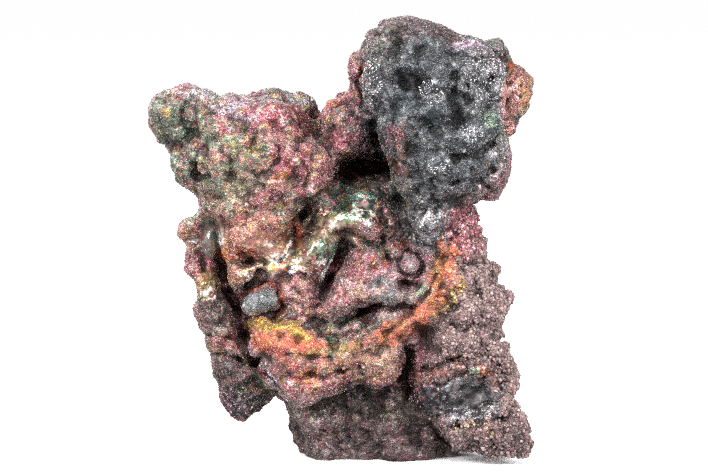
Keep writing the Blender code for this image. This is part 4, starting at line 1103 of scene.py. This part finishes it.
# Each tip is darkened by the painted shade of its hollow.
colour *= (rng.lognormal(-0.25, 0.12, TIPS) * painted_triangle_shade[pick])[:, None]
sizes = rng.uniform(*TIP_SIZE, TIPS)
for spot in GLITTER:
    near = (reach_of(x, height, *spot) < 1.0) & (rng.random(TIPS) < GLITTER_SHARE)
    sizes[near] *= GLITTER_SIZE
    colour[near] = FAMILIES["silver"][rng.integers(0, len(FAMILIES["silver"]), near.sum())]
zone = np.where(x < -3.0, np.where(height > 20.0, 0, 1), np.where(height > 24.0, 2, 3))
for number, name in enumerate(PIECES):
    chosen = np.flatnonzero(zone == number)[:MOST_IN_A_PIECE]
    add_grains(name, crystal, TIP, points[chosen], out[chosen], sizes[chosen], colour[chosen])

# %% [markdown]
# The coarse right mass is made of round granules, and a few lie everywhere. An icosahedron
# is round enough at this size. Its corners are the corners of three golden rectangles, and
# its faces are the triples of neighbouring corners that turn outward.

# %% Grow the granules
GRANULES = 11000
GRANULE_SIZE = (0.1, 0.24)
GOLDEN = 1.618
BEAD_RADIUS = 1.902
BEAD_EDGE = 1.1

golden = np.array([(0, a, b * GOLDEN) for a in (-1, 1) for b in (-1, 1)])
bead = np.concatenate((golden, golden[:, (2, 0, 1)], golden[:, (1, 2, 0)])) / BEAD_RADIUS
close_by = np.linalg.norm(bead[:, None] - bead, axis=2) < BEAD_EDGE
bead_faces = np.array([
    (i, j, k) for i, j, k in np.ndindex(12, 12, 12)
    if i < min(j, k) and close_by[i, j] and close_by[j, k] and close_by[i, k]
    and np.linalg.det(bead[[i, j, k]]) > 0])
print("a granule has", len(bead_faces), "faces")

x, height = seen(middle)
weights = 0.02 + right_mass(x, height, 10.0, 2.0)
weights = weights * ramp(1.0 - 2.5 * gloss_of(middle, out_of))
points, out, pick = scatter(corners, triangles, weights, GRANULES)
# Granules take the painted shade of their hollow too.
colour = 0.7 * tarnish_of(points, out, rng.random(GRANULES)) * painted_triangle_shade[pick][:, None]
sizes = rng.uniform(*GRANULE_SIZE, GRANULES)
highest_first = np.argsort(-points[:, 2])
half = GRANULES // 2
for name, order in (("upper_granules", highest_first[:half]), ("lower_granules", highest_first[half:])):
    add_grains(name, granule, (bead, bead_faces), points[order], out[order], sizes[order], colour[order])

# %% [markdown]
# ## Floor
#
# The floor is white paper that runs far back. It is hidden from mirror rays, so the facets
# see the dimmer lower half of the light tent instead and keep their contrast.

# %% Floor
PAPER_WHITE = 0.96

bpy.ops.mesh.primitive_plane_add(size=40.0, location=(0.0, 0.0, 0.0))
floor = bpy.context.object
floor.name = "floor"
floor.visible_glossy = False
paper, tree = new_tree("white_paper")
close(tree, {"Base Color": (PAPER_WHITE, PAPER_WHITE, PAPER_WHITE, 1.0), "Roughness": 0.9})
floor.data.materials.append(paper)
print("floor:", floor.name)

# %% [markdown]
# ## Light
#
# A mineral looks best in a tent of soft light. The tent is brighter above and dimmer below,
# so a glossy facet shows a gradient and not one flat tone. Four softboxes add the glints: a
# strong one from the left, one from the right, one over the camera and one from behind.

# %% Light
world = bpy.data.worlds.new("light_tent")
bpy.context.scene.world = world
world.use_nodes = True
tree = world.node_tree
tree.nodes.clear()
direction = add(tree, "ShaderNodeTexCoord")
parts = add(tree, "ShaderNodeSeparateXYZ", links={0: direction.outputs["Generated"]})
gradient = {"interpolation_type": "SMOOTHSTEP",
            "From Min": 0.1, "From Max": 0.6, "To Min": 0.68, "To Max": 1.1}
lift = add(tree, "ShaderNodeMapRange", gradient, {"Value": parts.outputs["Z"]})
glow = add(tree, "ShaderNodeBackground", {"Color": (1.0, 1.0, 1.0, 1.0)},
           {"Strength": lift.outputs["Result"]})
add(tree, "ShaderNodeOutputWorld", links={"Surface": glow.outputs[0]})


def softbox(name, place, size, watts):
    """A square lamp that looks at the middle of the specimen."""
    data = bpy.data.lights.new(name, "AREA")
    data.size = size * MM
    data.energy = watts
    lamp = placed(name, data)
    lamp.location = Vector(place) * MM
    lamp.rotation_euler = (AIM - lamp.location).to_track_quat("-Z", "Y").to_euler()
    print(name, watts, "W")


softbox("left_softbox", (-280.0, -240.0, 190.0), 260.0, 2.6)
softbox("right_softbox", (270.0, -210.0, 170.0), 220.0, 1.8)
softbox("front_softbox", (30.0, -320.0, 230.0), 120.0, 0.9)
softbox("back_softbox", (-140.0, 300.0, 200.0), 300.0, 1.8)

# %% [markdown]
# The standard view keeps the paper white. Denoising is off, because it takes the glints of
# single grains for noise, and a narrow pixel filter keeps them sharp.

# %% View
bpy.context.scene.view_settings.view_transform = "Standard"
bpy.context.scene.cycles.use_denoising = False
bpy.context.scene.cycles.filter_width = 1.1
print("view:", bpy.context.scene.view_settings.view_transform)
